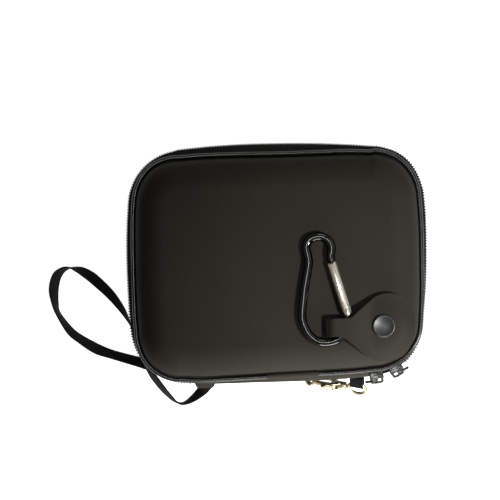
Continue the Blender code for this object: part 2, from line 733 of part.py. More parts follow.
def slider_pull(name, holder, way):
    """Small leaf with a window round the bail, lying along the zip."""
    round_end = arc((PULL_LENGTH - 1.5 * MM, 0), 1.5 * MM, -90, 90, 6)
    eye = -PULL_THICKNESS / 2
    leaf = [(eye, -PULL_HALF_WIDTH), (3.2 * MM, -PULL_HALF_WIDTH)] + round_end
    leaf += [(3.2 * MM, PULL_HALF_WIDTH), (eye, PULL_HALF_WIDTH)]
    window = [(0.45 * MM, -MM), (3.9 * MM, -MM), (3.9 * MM, MM), (0.45 * MM, MM)]
    stand = axes((0, 0, 0), (0, way, 0), (0, 0, 1))
    pull = plate(name, [leaf, window], PULL_THICKNESS, stand)
    pull.parent = holder
    return dress(pull, "dark_nickel")


def sliders(base):
    for side, angle, way in (("lower", LOWER_SLIDER, -1), ("upper", UPPER_SLIDER, 1)):
        middle = Matrix.Translation((CORNER.x, -CORNER.y, BAND_MIDDLE)) @ Matrix.Rotation(angle, 4, "Z")
        holder = pivot(f"slider_axis_{side}", middle, base)
        slider_body(f"zip_slider_{side}", holder)
        eye = middle @ Matrix.Translation((CORNER_RADIUS + PULL_OUTSET, 0, 0))
        pull_axis = pivot(f"pull_axis_{side}", eye, holder)
        slider_pull(f"zip_pull_{side}", pull_axis, way)


# Clasp

def clasp_tab():
    """Folded webbing, drooping from the seam, with the clasp's eye through its fold."""
    place = axes(EYE_CENTRE, CLASP_AIM, TAB_DROOP)
    bar = -EYE_HALF_HEIGHT
    inner = CLASP_TAB_SLOT / 2
    outer = inner + CLASP_TAB_WALL
    root = bar - CLASP_TAB_REACH
    fold = arc((bar + 0.7 * MM, 0), outer, -90, 90, 8)
    loop = [(root, outer), (root, -outer)] + fold
    slot = arc((bar + 0.7 * MM, 0), inner, -90, 90, 6) + arc((root + 2.6 * MM, 0), inner, 90, 270, 6)
    on_edge = place @ axes((0, 0, 0), (0, 1, 0), (0, 0, 1))
    tab = plate("clasp_tab", [loop, slot], CLASP_TAB_WIDTH, on_edge)
    return dress(tab, "webbing")


def clasp_eye(holder):
    """Rounded wire loop, with a headed shank for the swivel. Its own X points along the clasp."""
    width, height, bend = EYE_HALF_WIDTH, EYE_HALF_HEIGHT, 2.6 * MM
    corners = [(width - bend, height - bend, 0), (bend - width, height - bend, 90),
               (bend - width, bend - height, 180), (width - bend, bend - height, 270)]
    loop = []
    for x, y, start in corners:
        loop += arc((x, y), bend, start, start + 90, 4)
    eye = wire("clasp_eye", loop, EYE_WIRE, closed=True)
    profile = [(0, 9.1), (1.4, 9.1), (1.4, 8.15), (0.9, 8.15), (0.9, 4.7), (0, 4.7)]
    lie = Matrix.Rotation(math.pi / 2, 4, "Y")
    shank = turned("clasp_shank", [(r * MM, z * MM) for r, z in profile], lie, steps=12)
    eye.matrix_local = Matrix.Translation((0, EYE_HALF_HEIGHT, 0))
    shank.matrix_local = Matrix.Translation((0, EYE_HALF_HEIGHT, 0)) @ lie
    for item in (eye, shank):
        item.parent = holder
    boolean(eye, shank, "UNION")
    return dress(eye, "pale_gold")


def clasp_hook(holder):
    """Swivel barrel, claw and two ears for the lever. Its own X points along the clasp."""
    profile = [(0, 10.6), (1.7, 10.6), (2.3, 10.0), (2.3, 6.3), (1.9, 5.9), (1.15, 5.9), (1.15, 7.9),
               (1.75, 7.9), (1.75, 9.4), (0, 9.4)]
    lie = Matrix.Rotation(math.pi / 2, 4, "Y")
    hook = turned("clasp_hook", [(r * MM, z * MM) for r, z in profile], lie, steps=12)
    bends = [(9.9, 0.0), (12.6, -1.9), (16.0, -3.9), (20.5, -4.9), (24.5, -3.8), (26.9, -1.0),
             (27.0, 1.8), (25.4, 3.6), (23.5, 3.6)]
    route = smooth_route([(x * MM, y * MM, 0) for x, y in bends], 2)
    taper = [1.0 - 0.3 * max(0, i / len(route) - 0.6) / 0.4 for i in range(len(route))]
    claw = wire("clasp_claw", route, HOOK_WIRE, scales=taper)
    ear = [(8.8 * MM, -1.2 * MM), (11.8 * MM, -1.2 * MM)] + arc((12.6 * MM, 1.7 * MM), 1.4 * MM, -60, 120, 6)
    ear += [(8.8 * MM, 1.3 * MM)]
    ears = [plate(f"clasp_ear_{side}", [ear], 0.7 * MM, Matrix.Translation((0, 0, place * MM)))
            for side, place in (("low", -1.75), ("high", 1.75))]
    hole = rod("ear_pin_hole", 0.65 * MM, -4 * MM, 4 * MM, Matrix.Translation((12.6 * MM, 1.7 * MM, 0)), 12)
    for item in [hook, claw, hole] + ears:
        item.parent = holder
    for item in [claw] + ears:
        boolean(hook, item, "UNION")
    boolean(hook, hole)
    return dress(hook, "pale_gold")


def clasp_lever(holder):
    """Sprung lever that closes the claw, with a thumb stub. Its own origin is the pin."""
    boss = arc((0, 0), 1.35 * MM, 90, 300, 10)
    arm = [(11.6 * MM, -0.9 * MM), (12.0 * MM, 0.2 * MM), (11.2 * MM, 0.65 * MM)]
    stub = [(6.6 * MM, 0.9 * MM), (6.2 * MM, 3.2 * MM), (4.6 * MM, 3.4 * MM), (3.6 * MM, 1.2 * MM)]
    hole = circle((0, 0), 0.65 * MM, 12)
    lever = plate("clasp_lever", [boss + arm + stub, hole], 2.0 * MM)
    lever.parent = holder
    return dress(lever, "pale_gold")


def clasp(base):
    place = axes(EYE_CENTRE, CLASP_AIM, TAB_DROOP)
    bar = place @ Matrix.Translation((0, -EYE_HALF_HEIGHT, 0))
    eye_axis = pivot("eye_axis", bar, base)
    clasp_eye(eye_axis)
    level = axes(EYE_CENTRE, CLASP_AIM, Vector((0, 0, 1)).cross(CLASP_AIM))
    hook_axis = pivot("swivel_axis", level @ Matrix.Rotation(CLASP_ROLL, 4, "X"), eye_axis)
    clasp_hook(hook_axis)
    pin_place = Matrix.Translation((12.6 * MM, 1.7 * MM, 0))
    pin = rod("clasp_lever_pin", 0.5 * MM, -2.1 * MM, 2.1 * MM, pin_place, 12)
    pin.parent = hook_axis
    dress(pin, "pale_gold")
    lever_axis = pivot("lever_axis", hook_axis.matrix_world @ pin_place, hook_axis)
    clasp_lever(lever_axis)


# Wrist strap

def strap_tab():
    """Two layers sewn over an end of the strap, open at the lower end."""
    place = axes(STRAP_TAB_ROOT, (1, 0, 0), STRAP_TAB_DROOP)
    half = STRAP_TAB_WIDTH / 2
    narrow = half - 0.7 * MM
    start, end = -1.2 * MM, STRAP_TAB_LENGTH
    straight = 2.5 * MM
    outline = [(-half, start), (half, start), (half, straight),
               (narrow, end), (-narrow, end), (-half, straight)]
    tab = plate("strap_tab", [outline], STRAP_TAB_SLOT + 2 * STRAP_TAB_WALL, place)
    slot_half = STRAP_WIDTH / 2 + GAP
    slot = block("strap_slot", (-slot_half, 1.2 * MM, -STRAP_TAB_SLOT / 2),
                 (slot_half, end + MM, STRAP_TAB_SLOT / 2), place)
    boolean(tab, slot)
    return dress(tab, "moulded")


def strap_stations():
    """Route of the strap in millimetres, with the lean of its face: 0 on edge, 90 face up."""
    return [
        (-39.5, -63.66, 17.88, -90), (-39.55, -67.9, 14.7, -90), (-41.4, -70.1, 12.7, -70),
        (-44.4, -71.2, 11.3, -46), (-47.4, -72.2, 10.1, -26), (-50.2, -73.0, 9.2, -13),
        (-53.0, -73.35, 8.4, -5), (-55.7, -72.8, 7.9, 3), (-58.6, -70.6, 7.7, 11),
        (-61.7, -67.3, 7.8, 20), (-65.0, -63.2, 8.2, 24), (-68.2, -58.2, 8.6, 24),
        (-73.4, -46.0, 7.4, 16), (-75.8, -38.8, 5.6, 10), (-77.9, -32.8, 4.2, 2),
        (-80.0, -28.2, 3.4, -12), (-83.1, -22.8, 3.1, -29), (-89.0, -15.1, 2.6, -49),
        (-96.2, -8.0, 2.2, -60), (-99.9, -5.0, 2.3, -56), (-103.5, -2.8, 2.8, -43),
        (-106.6, -1.6, 3.3, -23), (-110.4, -0.8, 3.4, 4), (-114.2, -2.0, 3.2, 28),
        (-117.3, -5.4, 2.6, 50), (-118.9, -12.0, 2.4, 54), (-118.4, -19.0, 3.0, 34),
        (-116.7, -25.1, 3.3, 20), (-110.6, -34.3, 3.0, 38), (-105.1, -38.9, 2.8, 44),
        (-96.7, -44.2, 2.1, 60), (-88.4, -47.4, 2.6, 47), (-75.2, -51.4, 2.2, 55),
        (-70.6, -52.8, 1.8, 64), (-65.0, -54.4, 2.1, 58), (-58.2, -56.6, 3.2, 40),
        (-52.8, -55.5, 5.2, 36), (-47.5, -54.0, 6.7, 32), (-42.0, -54.3, 6.8, 31),
        (-36.5, -54.7, 6.8, 31),
    ]


def wrist_strap():
    route = smooth_route(strap_stations(), 2)
    points = [(x * MM, y * MM, z * MM) for x, y, z, lean in route]
    strap = curve_object("wrist_strap", [points], False, "3D")
    strap.data.twist_mode = "Z_UP"
    strap.data.fill_mode = "FULL"
    strap.data.bevel_depth = STRAP_THICKNESS / 2
    strap.data.bevel_resolution = 0
    strap.data.extrude = (STRAP_WIDTH - STRAP_THICKNESS) / 2
    strap.data.use_fill_caps = True
    for slot, station in zip(strap.data.splines[0].points, route):
        slot.tilt = math.radians(station[3])
    return dress(mesh_of(strap), "webbing")


# Assembly

def build():
    base = pivot("base_frame", Matrix.Identity(4))
    lid = pivot("lid_axis", Matrix.Translation((0, LID_AXIS_Y, BAND_MIDDLE)), base)
    pieces = {**shell_pair(), **piping_pair(), **zip_halves()}
    retaining, pocket, binding = inside()
    post_place = Matrix.Translation((FLAP_X, FLAP_Y, 0))
    post_hole = rod("post_hole", 2.0 * MM, FRONT_RIM, CASE_DEPTH + 5 * MM, post_place)
    for name in ("front_shell", "front_lining"):
        boolean(pieces[name], post_hole)
    for name, item in pieces.items():
        carry(item, lid if "front" in name else base)
    for item in (spine(), strap_tab(), clasp_tab(), wrist_strap(), retaining):
        carry(item, base)
    studs = press_stud()
    for item in (pocket, binding, snap_tail(), studs["snap_stud"], studs["snap_post"]):
        carry(item, lid)
    fold = pivot("flap_axis", Matrix.Translation((FOLD_X, FLAP_Y, FOLD_Z)), lid)
    for item in (snap_flap(), studs["snap_cap"], studs["snap_socket"]):
        carry(item, fold)
    carabiner(lid)
    sliders(base)
    clasp(base)


build()
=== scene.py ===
import bisect
from math import asin, atan2, copysign, cos, dist, hypot, pi, radians, sin, sqrt, tau

import bpy
from mathutils import Matrix, Vector


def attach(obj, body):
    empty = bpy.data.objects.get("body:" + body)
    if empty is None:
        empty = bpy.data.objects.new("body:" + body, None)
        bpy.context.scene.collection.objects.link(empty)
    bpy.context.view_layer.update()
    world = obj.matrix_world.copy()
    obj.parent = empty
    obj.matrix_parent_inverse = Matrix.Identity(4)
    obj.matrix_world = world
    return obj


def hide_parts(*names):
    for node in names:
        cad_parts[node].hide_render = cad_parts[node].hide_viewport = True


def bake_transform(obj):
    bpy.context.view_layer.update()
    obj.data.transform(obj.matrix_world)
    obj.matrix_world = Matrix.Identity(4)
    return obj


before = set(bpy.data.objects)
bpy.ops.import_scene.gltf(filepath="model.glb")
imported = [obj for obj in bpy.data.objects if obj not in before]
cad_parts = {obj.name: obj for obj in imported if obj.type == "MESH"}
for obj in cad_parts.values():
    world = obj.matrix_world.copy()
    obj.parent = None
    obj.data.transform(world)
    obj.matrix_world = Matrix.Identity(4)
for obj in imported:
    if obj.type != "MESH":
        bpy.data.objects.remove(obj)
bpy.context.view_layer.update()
mm = 0.001
scene = bpy.context.scene
print("frame loaded:", len(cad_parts), "nodes")

# small helpers for working in object and edit mode


def pickOnly(*things):
    bpy.ops.object.select_all(action="DESELECT")
    for thing in things:
        thing.select_set(True)
    bpy.context.view_layer.objects.active = things[0]


def linked(name, data):
    thing = bpy.data.objects.new(name, data)
    bpy.context.collection.objects.link(thing)
    return thing


def startShape(name, add, **settings):
    bpy.ops.object.select_all(action="DESELECT")
    add(**settings)
    bpy.context.object.name = name
    return bpy.context.object


def inMm(sizes):
    if isinstance(sizes, dict):
        return {key: inMm(size) for key, size in sizes.items()}
    if isinstance(sizes, (int, float)):
        return sizes * mm
    return (tuple if isinstance(sizes, tuple) else list)(inMm(size) for size in sizes)


def editAll(thing, mode="VERT"):
    pickOnly(thing)
    bpy.ops.object.mode_set(mode="EDIT")
    bpy.ops.mesh.select_mode(type=mode)
    bpy.ops.mesh.select_all(action="SELECT")


def leaveEdit():
    bpy.ops.object.mode_set(mode="OBJECT")


def toMesh(curve):
    pickOnly(curve)
    bpy.ops.object.convert(target="MESH")
    return curve


def weld(thing, gap=0.002 * mm):
    editAll(thing)
    bpy.ops.mesh.remove_doubles(threshold=gap)
    bpy.ops.mesh.normals_make_consistent(inside=False)
    leaveEdit()
    return thing


def applyAll(thing):
    pickOnly(thing)
    for modifier in list(thing.modifiers):
        bpy.ops.object.modifier_apply(modifier=modifier.name)
    return thing


def settle(thing, matrix=None):
    if matrix is not None:
        thing.matrix_world = matrix
    pickOnly(thing)
    bpy.ops.object.transform_apply(location=True, rotation=True, scale=True)
    return thing


def smoothBy(thing, degrees):
    pickOnly(thing)
    bpy.ops.object.shade_smooth_by_angle(angle=radians(degrees))
    return thing


def joinUp(name, things):
    pickOnly(*things)
    bpy.ops.object.join()
    things[0].name = name
    return things[0]


def bevelEdges(thing, width, segments=2, degrees=30):  # width in mm
    bevel = thing.modifiers.new("Edges", "BEVEL")
    bevel.width = width * mm
    bevel.segments = segments
    bevel.limit_method = "ANGLE"
    bevel.angle_limit = radians(degrees)
    return applyAll(thing)


def cutWith(thing, tool, how="DIFFERENCE"):
    cut = thing.modifiers.new("Cut", "BOOLEAN")
    cut.operation = how
    cut.object = tool
    applyAll(thing)
    bpy.data.objects.remove(tool, do_unlink=True)


def addSpline(data, points, closed):
    spline = data.splines.new("POLY")
    spline.points.add(len(points) - 1)
    for place, point in zip(spline.points, points):
        place.co = (*Vector(point).to_3d(), 1.0)
    spline.use_cyclic_u = closed


def newCurve(name, points, closed=False, flat=False):
    data = bpy.data.curves.new(name, "CURVE")
    data.dimensions = "2D" if flat else "3D"
    addSpline(data, points, closed)
    data.fill_mode = "NONE" if flat else "FULL"
    return linked(name, data)


def roundWire(name, points, radius, closed=False, scales=None, rings=5):
    curve = newCurve(name, points, closed)
    curve.data.bevel_depth = radius
    curve.data.bevel_resolution = rings
    curve.data.use_fill_caps = not closed
    for place, scale in zip(curve.data.splines[0].points, scales or []):
        place.radius = scale
    return weld(toMesh(curve))


def flatPlate(name, outlines, thickness):
    curve = newCurve(name, outlines[0], True, True)
    for points in outlines[1:]:
        addSpline(curve.data, points, True)
    curve.data.fill_mode = "BOTH"
    curve.data.extrude = thickness / 2
    return weld(toMesh(curve))


def turnedPiece(name, profile, steps):  # profile in mm
    piece = toMesh(newCurve(name, [(r * mm, 0, z * mm) for r, z in profile]))
    editAll(piece)
    bpy.ops.mesh.spin(steps=steps, angle=tau, center=(0, 0, 0), axis=(0, 0, 1))
    leaveEdit()
    return weld(piece)


def moved(*place):
    return Matrix.Translation(place)


def turned(degrees, axis):
    return Matrix.Rotation(radians(degrees), 4, axis)


def rivet(name, half, steps, matrix, degrees):
    piece = turnedPiece(name, half + [(r, -z) for r, z in half[::-1]], steps)
    return smoothBy(settle(piece, matrix), degrees)


def axesAt(origin, x, y):
    x = Vector(x).normalized()
    z = x.cross(Vector(y)).normalized()
    y = z.cross(x)
    return moved(*origin) @ Matrix((x, y, z)).transposed().to_4x4()


def arcPoints(centre, radius, start, end, steps):
    across, up = radius if isinstance(radius, tuple) else (radius, radius)
    angles = [radians(start + (end - start) * i / steps) for i in range(steps + 1)]
    return [(centre[0] + across * cos(a), centre[1] + up * sin(a)) for a in angles]


def ringPoints(centre, radius, steps):
    return arcPoints(centre, radius, 0, 360, steps)[:-1]


def curved(a, b, c, d, t):  # from b to c, on the curve through all four
    return b + 0.5 * t * (c - a + t * (2 * a - 5 * b + 4 * c - d + t * (3 * b - a - 3 * c + d)))


def smoothRoute(stations, steps):
    ends = [stations[0]] + list(stations) + [stations[-1]]
    route = []
    for four in zip(ends, ends[1:], ends[2:], ends[3:]):
        route += [tuple(curved(*values, i / steps) for values in zip(*four)) for i in range(steps)]
    return route + [tuple(stations[-1])]


def easeStep(low, high, value):
    t = min(max((value - low) / (high - low), 0.0), 1.0)
    return t * t * (3 - 2 * t)


# camera, straight above the case as in the photo, and the plain studio

view = inMm({"centre": (-13.7, 7.0), "level": 26, "width": 265}) | {"distance": 3.0, "turn": -1.05, "sensor": 36}


def placeCamera():
    data = bpy.data.cameras.new("photoCamera")
    data.sensor_width = view["sensor"]
    data.lens = view["sensor"] * view["distance"] / view["width"]
    camera = linked("photoCamera", data)
    camera.location = (*view["centre"], view["level"] + view["distance"])
    camera.rotation_euler = (0, 0, radians(view["turn"]))
    scene.camera = camera


lamps = {
    "key": {"at": (0.55, -0.27, 0.78), "aim": (0.096, -0.050, 0.045), "cone": 19.2, "size": 0.04, "power": 44.5},
    "sideRight": {"at": (0.24, 0.12, 0.26), "aim": (0.0, -0.01, 0.03), "size": (0.20, 0.20), "power": 0.08},
    "lowEdge": {"at": (0.05, -0.28, 0.10), "aim": (0.02, -0.05, 0.03), "size": (0.20, 0.08), "power": 0.82},
    "overhead": {"at": (-0.02, 0.0, 1.50), "aim": (-0.02, 0.0, 0.0), "size": (0.16, 0.16), "power": 1.4},
    "topFill": {"at": (0.09, 0.42, 0.30), "aim": (0.04, 0.04, 0.03), "size": (0.20, 0.12), "power": 0.26},
    "glint": {"at": (-0.02, 0.0, 1.50), "aim": (-0.02, 0.0, 0.0), "size": (0.10, 0.10), "power": 3.6,
              "diffuse": False},
}


def placeLamps():
    for name, lamp in lamps.items():
        data = bpy.data.lights.new(name, "SPOT" if "cone" in lamp else "AREA")
        data.energy = lamp["power"]
        if "cone" in lamp:
            data.spot_size = radians(lamp["cone"])
            data.spot_blend = 1.0
            data.shadow_soft_size = lamp["size"]
        else:
            data.shape = "RECTANGLE"
            data.size, data.size_y = lamp["size"]
        item = linked(name, data)
        item.location = lamp["at"]
        item.visible_diffuse = lamp.get("diffuse", True)  # the glint only shows in gloss
        item.rotation_euler = (Vector(lamp["aim"]) - item.location).to_track_quat("-Z", "Y").to_euler()


# materials: sums on sockets are written as plain expressions


class Val:
    def __init__(self, finish, socket):
        self.finish = finish
        self.socket = socket

    def sums(self, operation, *values):
        return self.finish.add("ShaderNodeMath", dict(enumerate(values)), operation=operation)

    def __add__(self, other):
        return self.sums("ADD", self, other)

    def __sub__(self, other):
        return self.sums("SUBTRACT", self, other)

    def __mul__(self, other):
        return self.sums("MULTIPLY", self, other)

    def __rsub__(self, other):
        return self.sums("SUBTRACT", other, self)

    __radd__, __rmul__ = __add__, __mul__

    def over(self, level):
        return self.sums("GREATER_THAN", self, level)

    def sine(self):
        return self.sums("SINE", self)

    def floor(self):
        return self.sums("FLOOR", self)


class Finish:
    def __init__(self, name, world=None):
        self.material = world or bpy.data.materials.new(name)
        self.material.use_nodes = True
        self.tree = self.material.node_tree
        self.shader = self.tree.nodes.get("Principled BSDF")

    def add(self, kind, values=None, out=0, **settings):
        node = self.tree.nodes.new(kind)
        for key, value in settings.items():
            setattr(node, key, value)
        for key, value in (values or {}).items():
            self.feed(node.inputs[key], value)
        return Val(self, node.outputs[out])

    def feed(self, socket, value):
        if isinstance(value, Val):
            self.tree.links.new(value.socket, socket)
        elif socket.type == "RGBA":
            socket.default_value = (*value, 1.0)
        else:
            socket.default_value = value

    def coat(self, **values):
        names = {"colour": "Base Color", "rough": "Roughness", "metal": "Metallic", "normal": "Normal",
                 "gloss": "Specular IOR Level", "sheen": "Sheen Weight", "edge": "Specular Tint"}
        for key, value in values.items():
            self.feed(self.shader.inputs[names[key]], value)
        return self.material

    def place(self, kind="Object"):
        return self.add("ShaderNodeTexCoord", out=kind)

    def parts(self, vector):
        node = self.add("ShaderNodeSeparateXYZ", {0: vector}).socket.node
        return [Val(self, node.outputs[i]) for i in range(3)]

    def noise(self, scale, detail=2.0, rough=0.5):
        values = {"Vector": self.place(), "Scale": scale, "Detail": detail, "Roughness": rough}
        return self.add("ShaderNodeTexNoise", values, "Fac")

    def cells(self, scale, feature="F1"):
        values = {"Vector": self.place(), "Scale": scale}
        return self.add("ShaderNodeTexVoronoi", values, "Distance", feature=feature)

    def mix(self, share, first, second):
        return self.add("ShaderNodeMix", {0: share, 6: first, 7: second}, 2, data_type="RGBA")

    def bump(self, height, depth, strength=1.0):
        return self.add("ShaderNodeBump", {"Height": height, "Distance": depth, "Strength": strength})


def mouldedSkin(name, dark, light, rough, depth):
    skin = Finish(name)
    tone = skin.noise(38, 3.0)
    patch = skin.noise(9)
    pebble = skin.cells(1500, "SMOOTH_F1")
    fine = skin.noise(4200)
    speck = skin.noise(900).over(0.68)
    colour = skin.mix(tone * 0.6 + patch * 0.5 - 0.05, dark, light)
    colour = skin.mix(speck * 0.25, colour, tuple(v * 1.6 for v in light))
    height = pebble * 0.7 + fine * 0.3
    return skin.coat(colour=colour, rough=tone * 0.10 + rough + fine * 0.06, normal=skin.bump(height, depth, 0.6),
                     gloss=0.022)


def pipingGloss():
    vinyl = Finish("pipingGloss")
    tone = vinyl.noise(300)
    scuff = vinyl.noise(2600, 3.0)
    colour = vinyl.mix(tone, (0.007, 0.007, 0.0065), (0.014, 0.0135, 0.012))
    height = tone * 0.8 + scuff * 0.2
    return vinyl.coat(colour=colour, rough=0.17 + scuff * 0.14, normal=vinyl.bump(height, 0.05 * mm), gloss=0.32)


def tapeWeave(name, dark, light):
    tape = Finish(name)
    x, y, z = tape.parts(tape.place())
    rib = (z * (tau / (0.55 * mm))).sine()
    cross = ((x + y) * (tau / (0.9 * mm)) + rib * 1.4).sine()
    tone = tape.noise(120)
    height = rib * 0.5 + cross * 0.3
    colour = tape.mix(cross * 0.25 + tone * 0.5, dark, light)
    return tape.coat(colour=colour, rough=0.72 + tone * 0.12, normal=tape.bump(height, 0.06 * mm),
                     sheen=0.02, gloss=0.06)


def coilNylon():
    nylon = Finish("coilNylon")
    tone = nylon.noise(700)
    colour = nylon.mix(tone, (0.0065, 0.0062, 0.0054), (0.0150, 0.0144, 0.0126))
    return nylon.coat(colour=colour, rough=0.50 + tone * 0.16, gloss=0.10,
                      normal=nylon.bump(nylon.noise(3000), 0.03 * mm))


def strapWeave(name, length, width, dark, light):
    web = Finish(name)
    u, v = web.parts(web.place("UV"))[:2]
    along = u * (length / (1.1 * mm))
    side = v * (2 * width / (0.8 * mm))
    row = side.floor()
    weft = ((along + row * 0.5) * tau).sine()
    thread = (side * tau).sine()
    tone = web.noise(160)
    fuzz = web.noise(5000)
    height = weft * 0.5 + thread * 0.25 + fuzz * 0.3
    colour = web.mix(weft * 0.3 + tone * 0.5 + fuzz * 0.2, dark, light)
    return web.coat(colour=colour, rough=0.78 + tone * 0.1, normal=web.bump(height, 0.09 * mm),
                    sheen=0.04, gloss=0.12)


def flapLeather():
    hide = Finish("flapLeather")
    pore = hide.cells(1100)
    crease = hide.noise(520, 4.0, 0.6)
    tone = hide.noise(60, 3.0)
    colour = hide.mix(tone * 0.8 + crease * 0.2, (0.0210, 0.0194, 0.0142), (0.0298, 0.0275, 0.0205))
    height = crease * 0.6 + pore * 0.5
    return hide.coat(colour=colour, rough=0.52 + crease * 0.14, gloss=0.06,
                     normal=hide.bump(height, 0.04 * mm, 0.5))


def platedMetal(name, dark, light, rough, scratch, dents=0.4, plating=1.0):
    metal = Finish(name)
    tone = metal.noise(240, 3.0)
    spot = metal.noise(1700)
    colour = metal.mix(tone, dark, light)
    return metal.coat(colour=colour, rough=rough + spot * scratch, metal=plating,
                      normal=metal.bump(tone * 0.6 + spot * 0.4, 0.01 * mm, dents))


def blackWireGloss():
    wire = Finish("blackWireGloss")
    tone = wire.noise(260)
    spot = wire.noise(2200)
    colour = wire.mix(tone, (0.036, 0.036, 0.035), (0.052, 0.051, 0.049))
    return wire.coat(colour=colour, metal=1.0, edge=(0.10, 0.10, 0.10), rough=0.09 + spot * 0.03,
                     normal=wire.bump(tone, 0.005 * mm, 0.2))


def knitLining():
    knit = Finish("knitLining")
    x, y, z = knit.parts(knit.place())
    column = (x * (tau / (1.2 * mm))).sine()
    loop = ((y + z) * (tau / (0.9 * mm)) + column * 1.2).sine()
    pile = knit.noise(1800, 3.0)
    tone = knit.noise(40)
    colour = knit.mix(loop * 0.2 + pile * 0.5 + tone * 0.3, (0.030, 0.030, 0.031), (0.078, 0.078, 0.079))
    return knit.coat(colour=colour, rough=0.88, sheen=0.25, gloss=0.15,
                     normal=knit.bump(column * 0.4 + loop * 0.4 + pile * 0.5, 0.12 * mm))


def elasticRib():
    band = Finish("elasticRib")
    x, y = band.parts(band.place())[:2]
    rib = (y * (tau / (1.0 * mm))).sine()
    pick = (x * (tau / (0.6 * mm)) + rib * 0.8).sine()
    tone = band.noise(90)
    colour = band.mix(rib * 0.3 + pick * 0.2 + tone * 0.4, (0.012, 0.012, 0.0125), (0.040, 0.040, 0.040))
    height = rib * 0.6 + pick * 0.3
    return band.coat(colour=colour, rough=0.8, sheen=0.1, gloss=0.2, normal=band.bump(height, 0.1 * mm))


studioMake = {"ambient": 0.035, "floor": 6.0, "floorGlow": 0.95, "floorTone": 0.80, "drop": -0.05 * mm,
              "shown": {"Is Glossy Ray": 0.28, "Is Transmission Ray": 0.28, "Is Camera Ray": 1.0}}


def studioFloor():
    floor = Finish("studioFloor")
    ray = floor.add("ShaderNodeLightPath").socket.node
    seen = Val(floor, ray.outputs["Is Camera Ray"])
    for output in ("Is Glossy Ray", "Is Transmission Ray"):
        seen = seen.sums("MAXIMUM", seen, Val(floor, ray.outputs[output]))
    white = {"Color": (1.0, 1.0, 1.0), "Strength": seen * studioMake["floorGlow"]}
    glow = floor.add("ShaderNodeEmission", white, "Emission")
    cloth = floor.add("ShaderNodeBsdfDiffuse", {"Color": (studioMake["floorTone"],) * 3}, "BSDF")
    both = floor.add("ShaderNodeAddShader", {0: glow, 1: cloth}, "Shader")
    floor.tree.links.new(both.socket, floor.tree.nodes["Material Output"].inputs["Surface"])
    return floor.material


def placeStudio():
    scene.world = bpy.data.worlds.new("studio")
    sky = Finish("studio", scene.world)
    ray = sky.add("ShaderNodeLightPath").socket.node
    pale = {"Color": (1.0, 1.0, 1.0), "Strength": studioMake["ambient"]}
    last = sky.add("ShaderNodeBackground", pale)
    for output, level in studioMake["shown"].items():
        shown = sky.add("ShaderNodeBackground", {"Strength": level})
        last = sky.add("ShaderNodeMixShader", {0: Val(sky, ray.outputs[output]), 1: last, 2: shown})
    sky.tree.links.new(last.socket, sky.tree.nodes["World Output"].inputs["Surface"])
    place = (0, 0, studioMake["drop"])
    floor = startShape("studioFloor", bpy.ops.mesh.primitive_plane_add, size=studioMake["floor"], location=place)
    floor.data.materials.append(studioFloor())


scene.view_settings.view_transform = "Standard"
placeCamera()
placeLamps()
placeStudio()
print("camera, lamps and floor placed")

skin = {
    "shell": ("moulded", mouldedSkin("shellSkin", (0.023, 0.0213, 0.0164), (0.0345, 0.0322, 0.0254), 0.5, 0.05 * mm)),
    "trim": ("moulded", mouldedSkin("trimSkin", (0.028, 0.0258, 0.0205), (0.042, 0.0390, 0.0315), 0.55, 0.06 * mm)),
    "piping": ("piping", pipingGloss()),
    "tape": ("zip_tape", tapeWeave("tapeWeave", (0.013, 0.0123, 0.0102), (0.026, 0.0245, 0.0205))),
    "coil": ("zip_coil", coilNylon()),
    "strap": ("webbing", strapWeave("strapWeave", 0.2397, 0.0064, (0.0038, 0.0038, 0.0034), (0.0115, 0.0115, 0.01))),
    "tab": ("webbing", tapeWeave("tabWeave", (0.0022, 0.0022, 0.0022), (0.0060, 0.0060, 0.0060))),
    "leather": ("leather", flapLeather()),
    "nickel": ("dark_nickel", platedMetal("darkNickel", (0.036, 0.036, 0.034), (0.085, 0.085, 0.080), 0.20, 0.12)),
    "cap": ("dark_nickel", platedMetal("capLacquer", (0.047, 0.049, 0.045), (0.060, 0.062, 0.057), 0.40, 0.03, 0.0)),
    "wire": ("black_metal", blackWireGloss()),
    "bright": ("bright_metal", platedMetal("brightTube", (0.75, 0.68, 0.56), (0.81, 0.74, 0.62), 0.24, 0.02, 0, 0.88)),
    "gold": ("pale_gold", platedMetal("paleGold", (0.27, 0.22, 0.135), (0.58, 0.51, 0.36), 0.28, 0.10, 0.2)),
    "lining": ("lining", knitLining()),
    "elastic": ("webbing", elasticRib()),
    "net": ("lining", strapWeave("netThread", 0.1, 0.002, (0.012, 0.012, 0.012), (0.045, 0.045, 0.045))),
}


def wear(item, material):
    item.data.materials.clear()
    item.data.materials.append(material)


def finishPiece(piece, body, look, *nodes):
    slot, material = skin[look]
    wear(piece, material)
    if body:
        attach(piece, body)
    if nodes:
        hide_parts(*nodes)
    return piece


def refineNode(name, node, body, look, width, segments=2):
    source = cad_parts[node]
    piece = linked(name, source.data.copy())
    piece.matrix_world = source.matrix_world.copy()
    settle(piece)
    editAll(piece)
    bpy.ops.mesh.remove_doubles(threshold=0.003 * mm)
    bpy.ops.mesh.dissolve_limited(angle_limit=radians(2))
    leaveEdit()
    return finishPiece(smoothBy(bevelEdges(piece, width, segments), 40), body, look, node)


# wrist strap, from its tab round to the back rim: place in mm and lean of the webbing's face

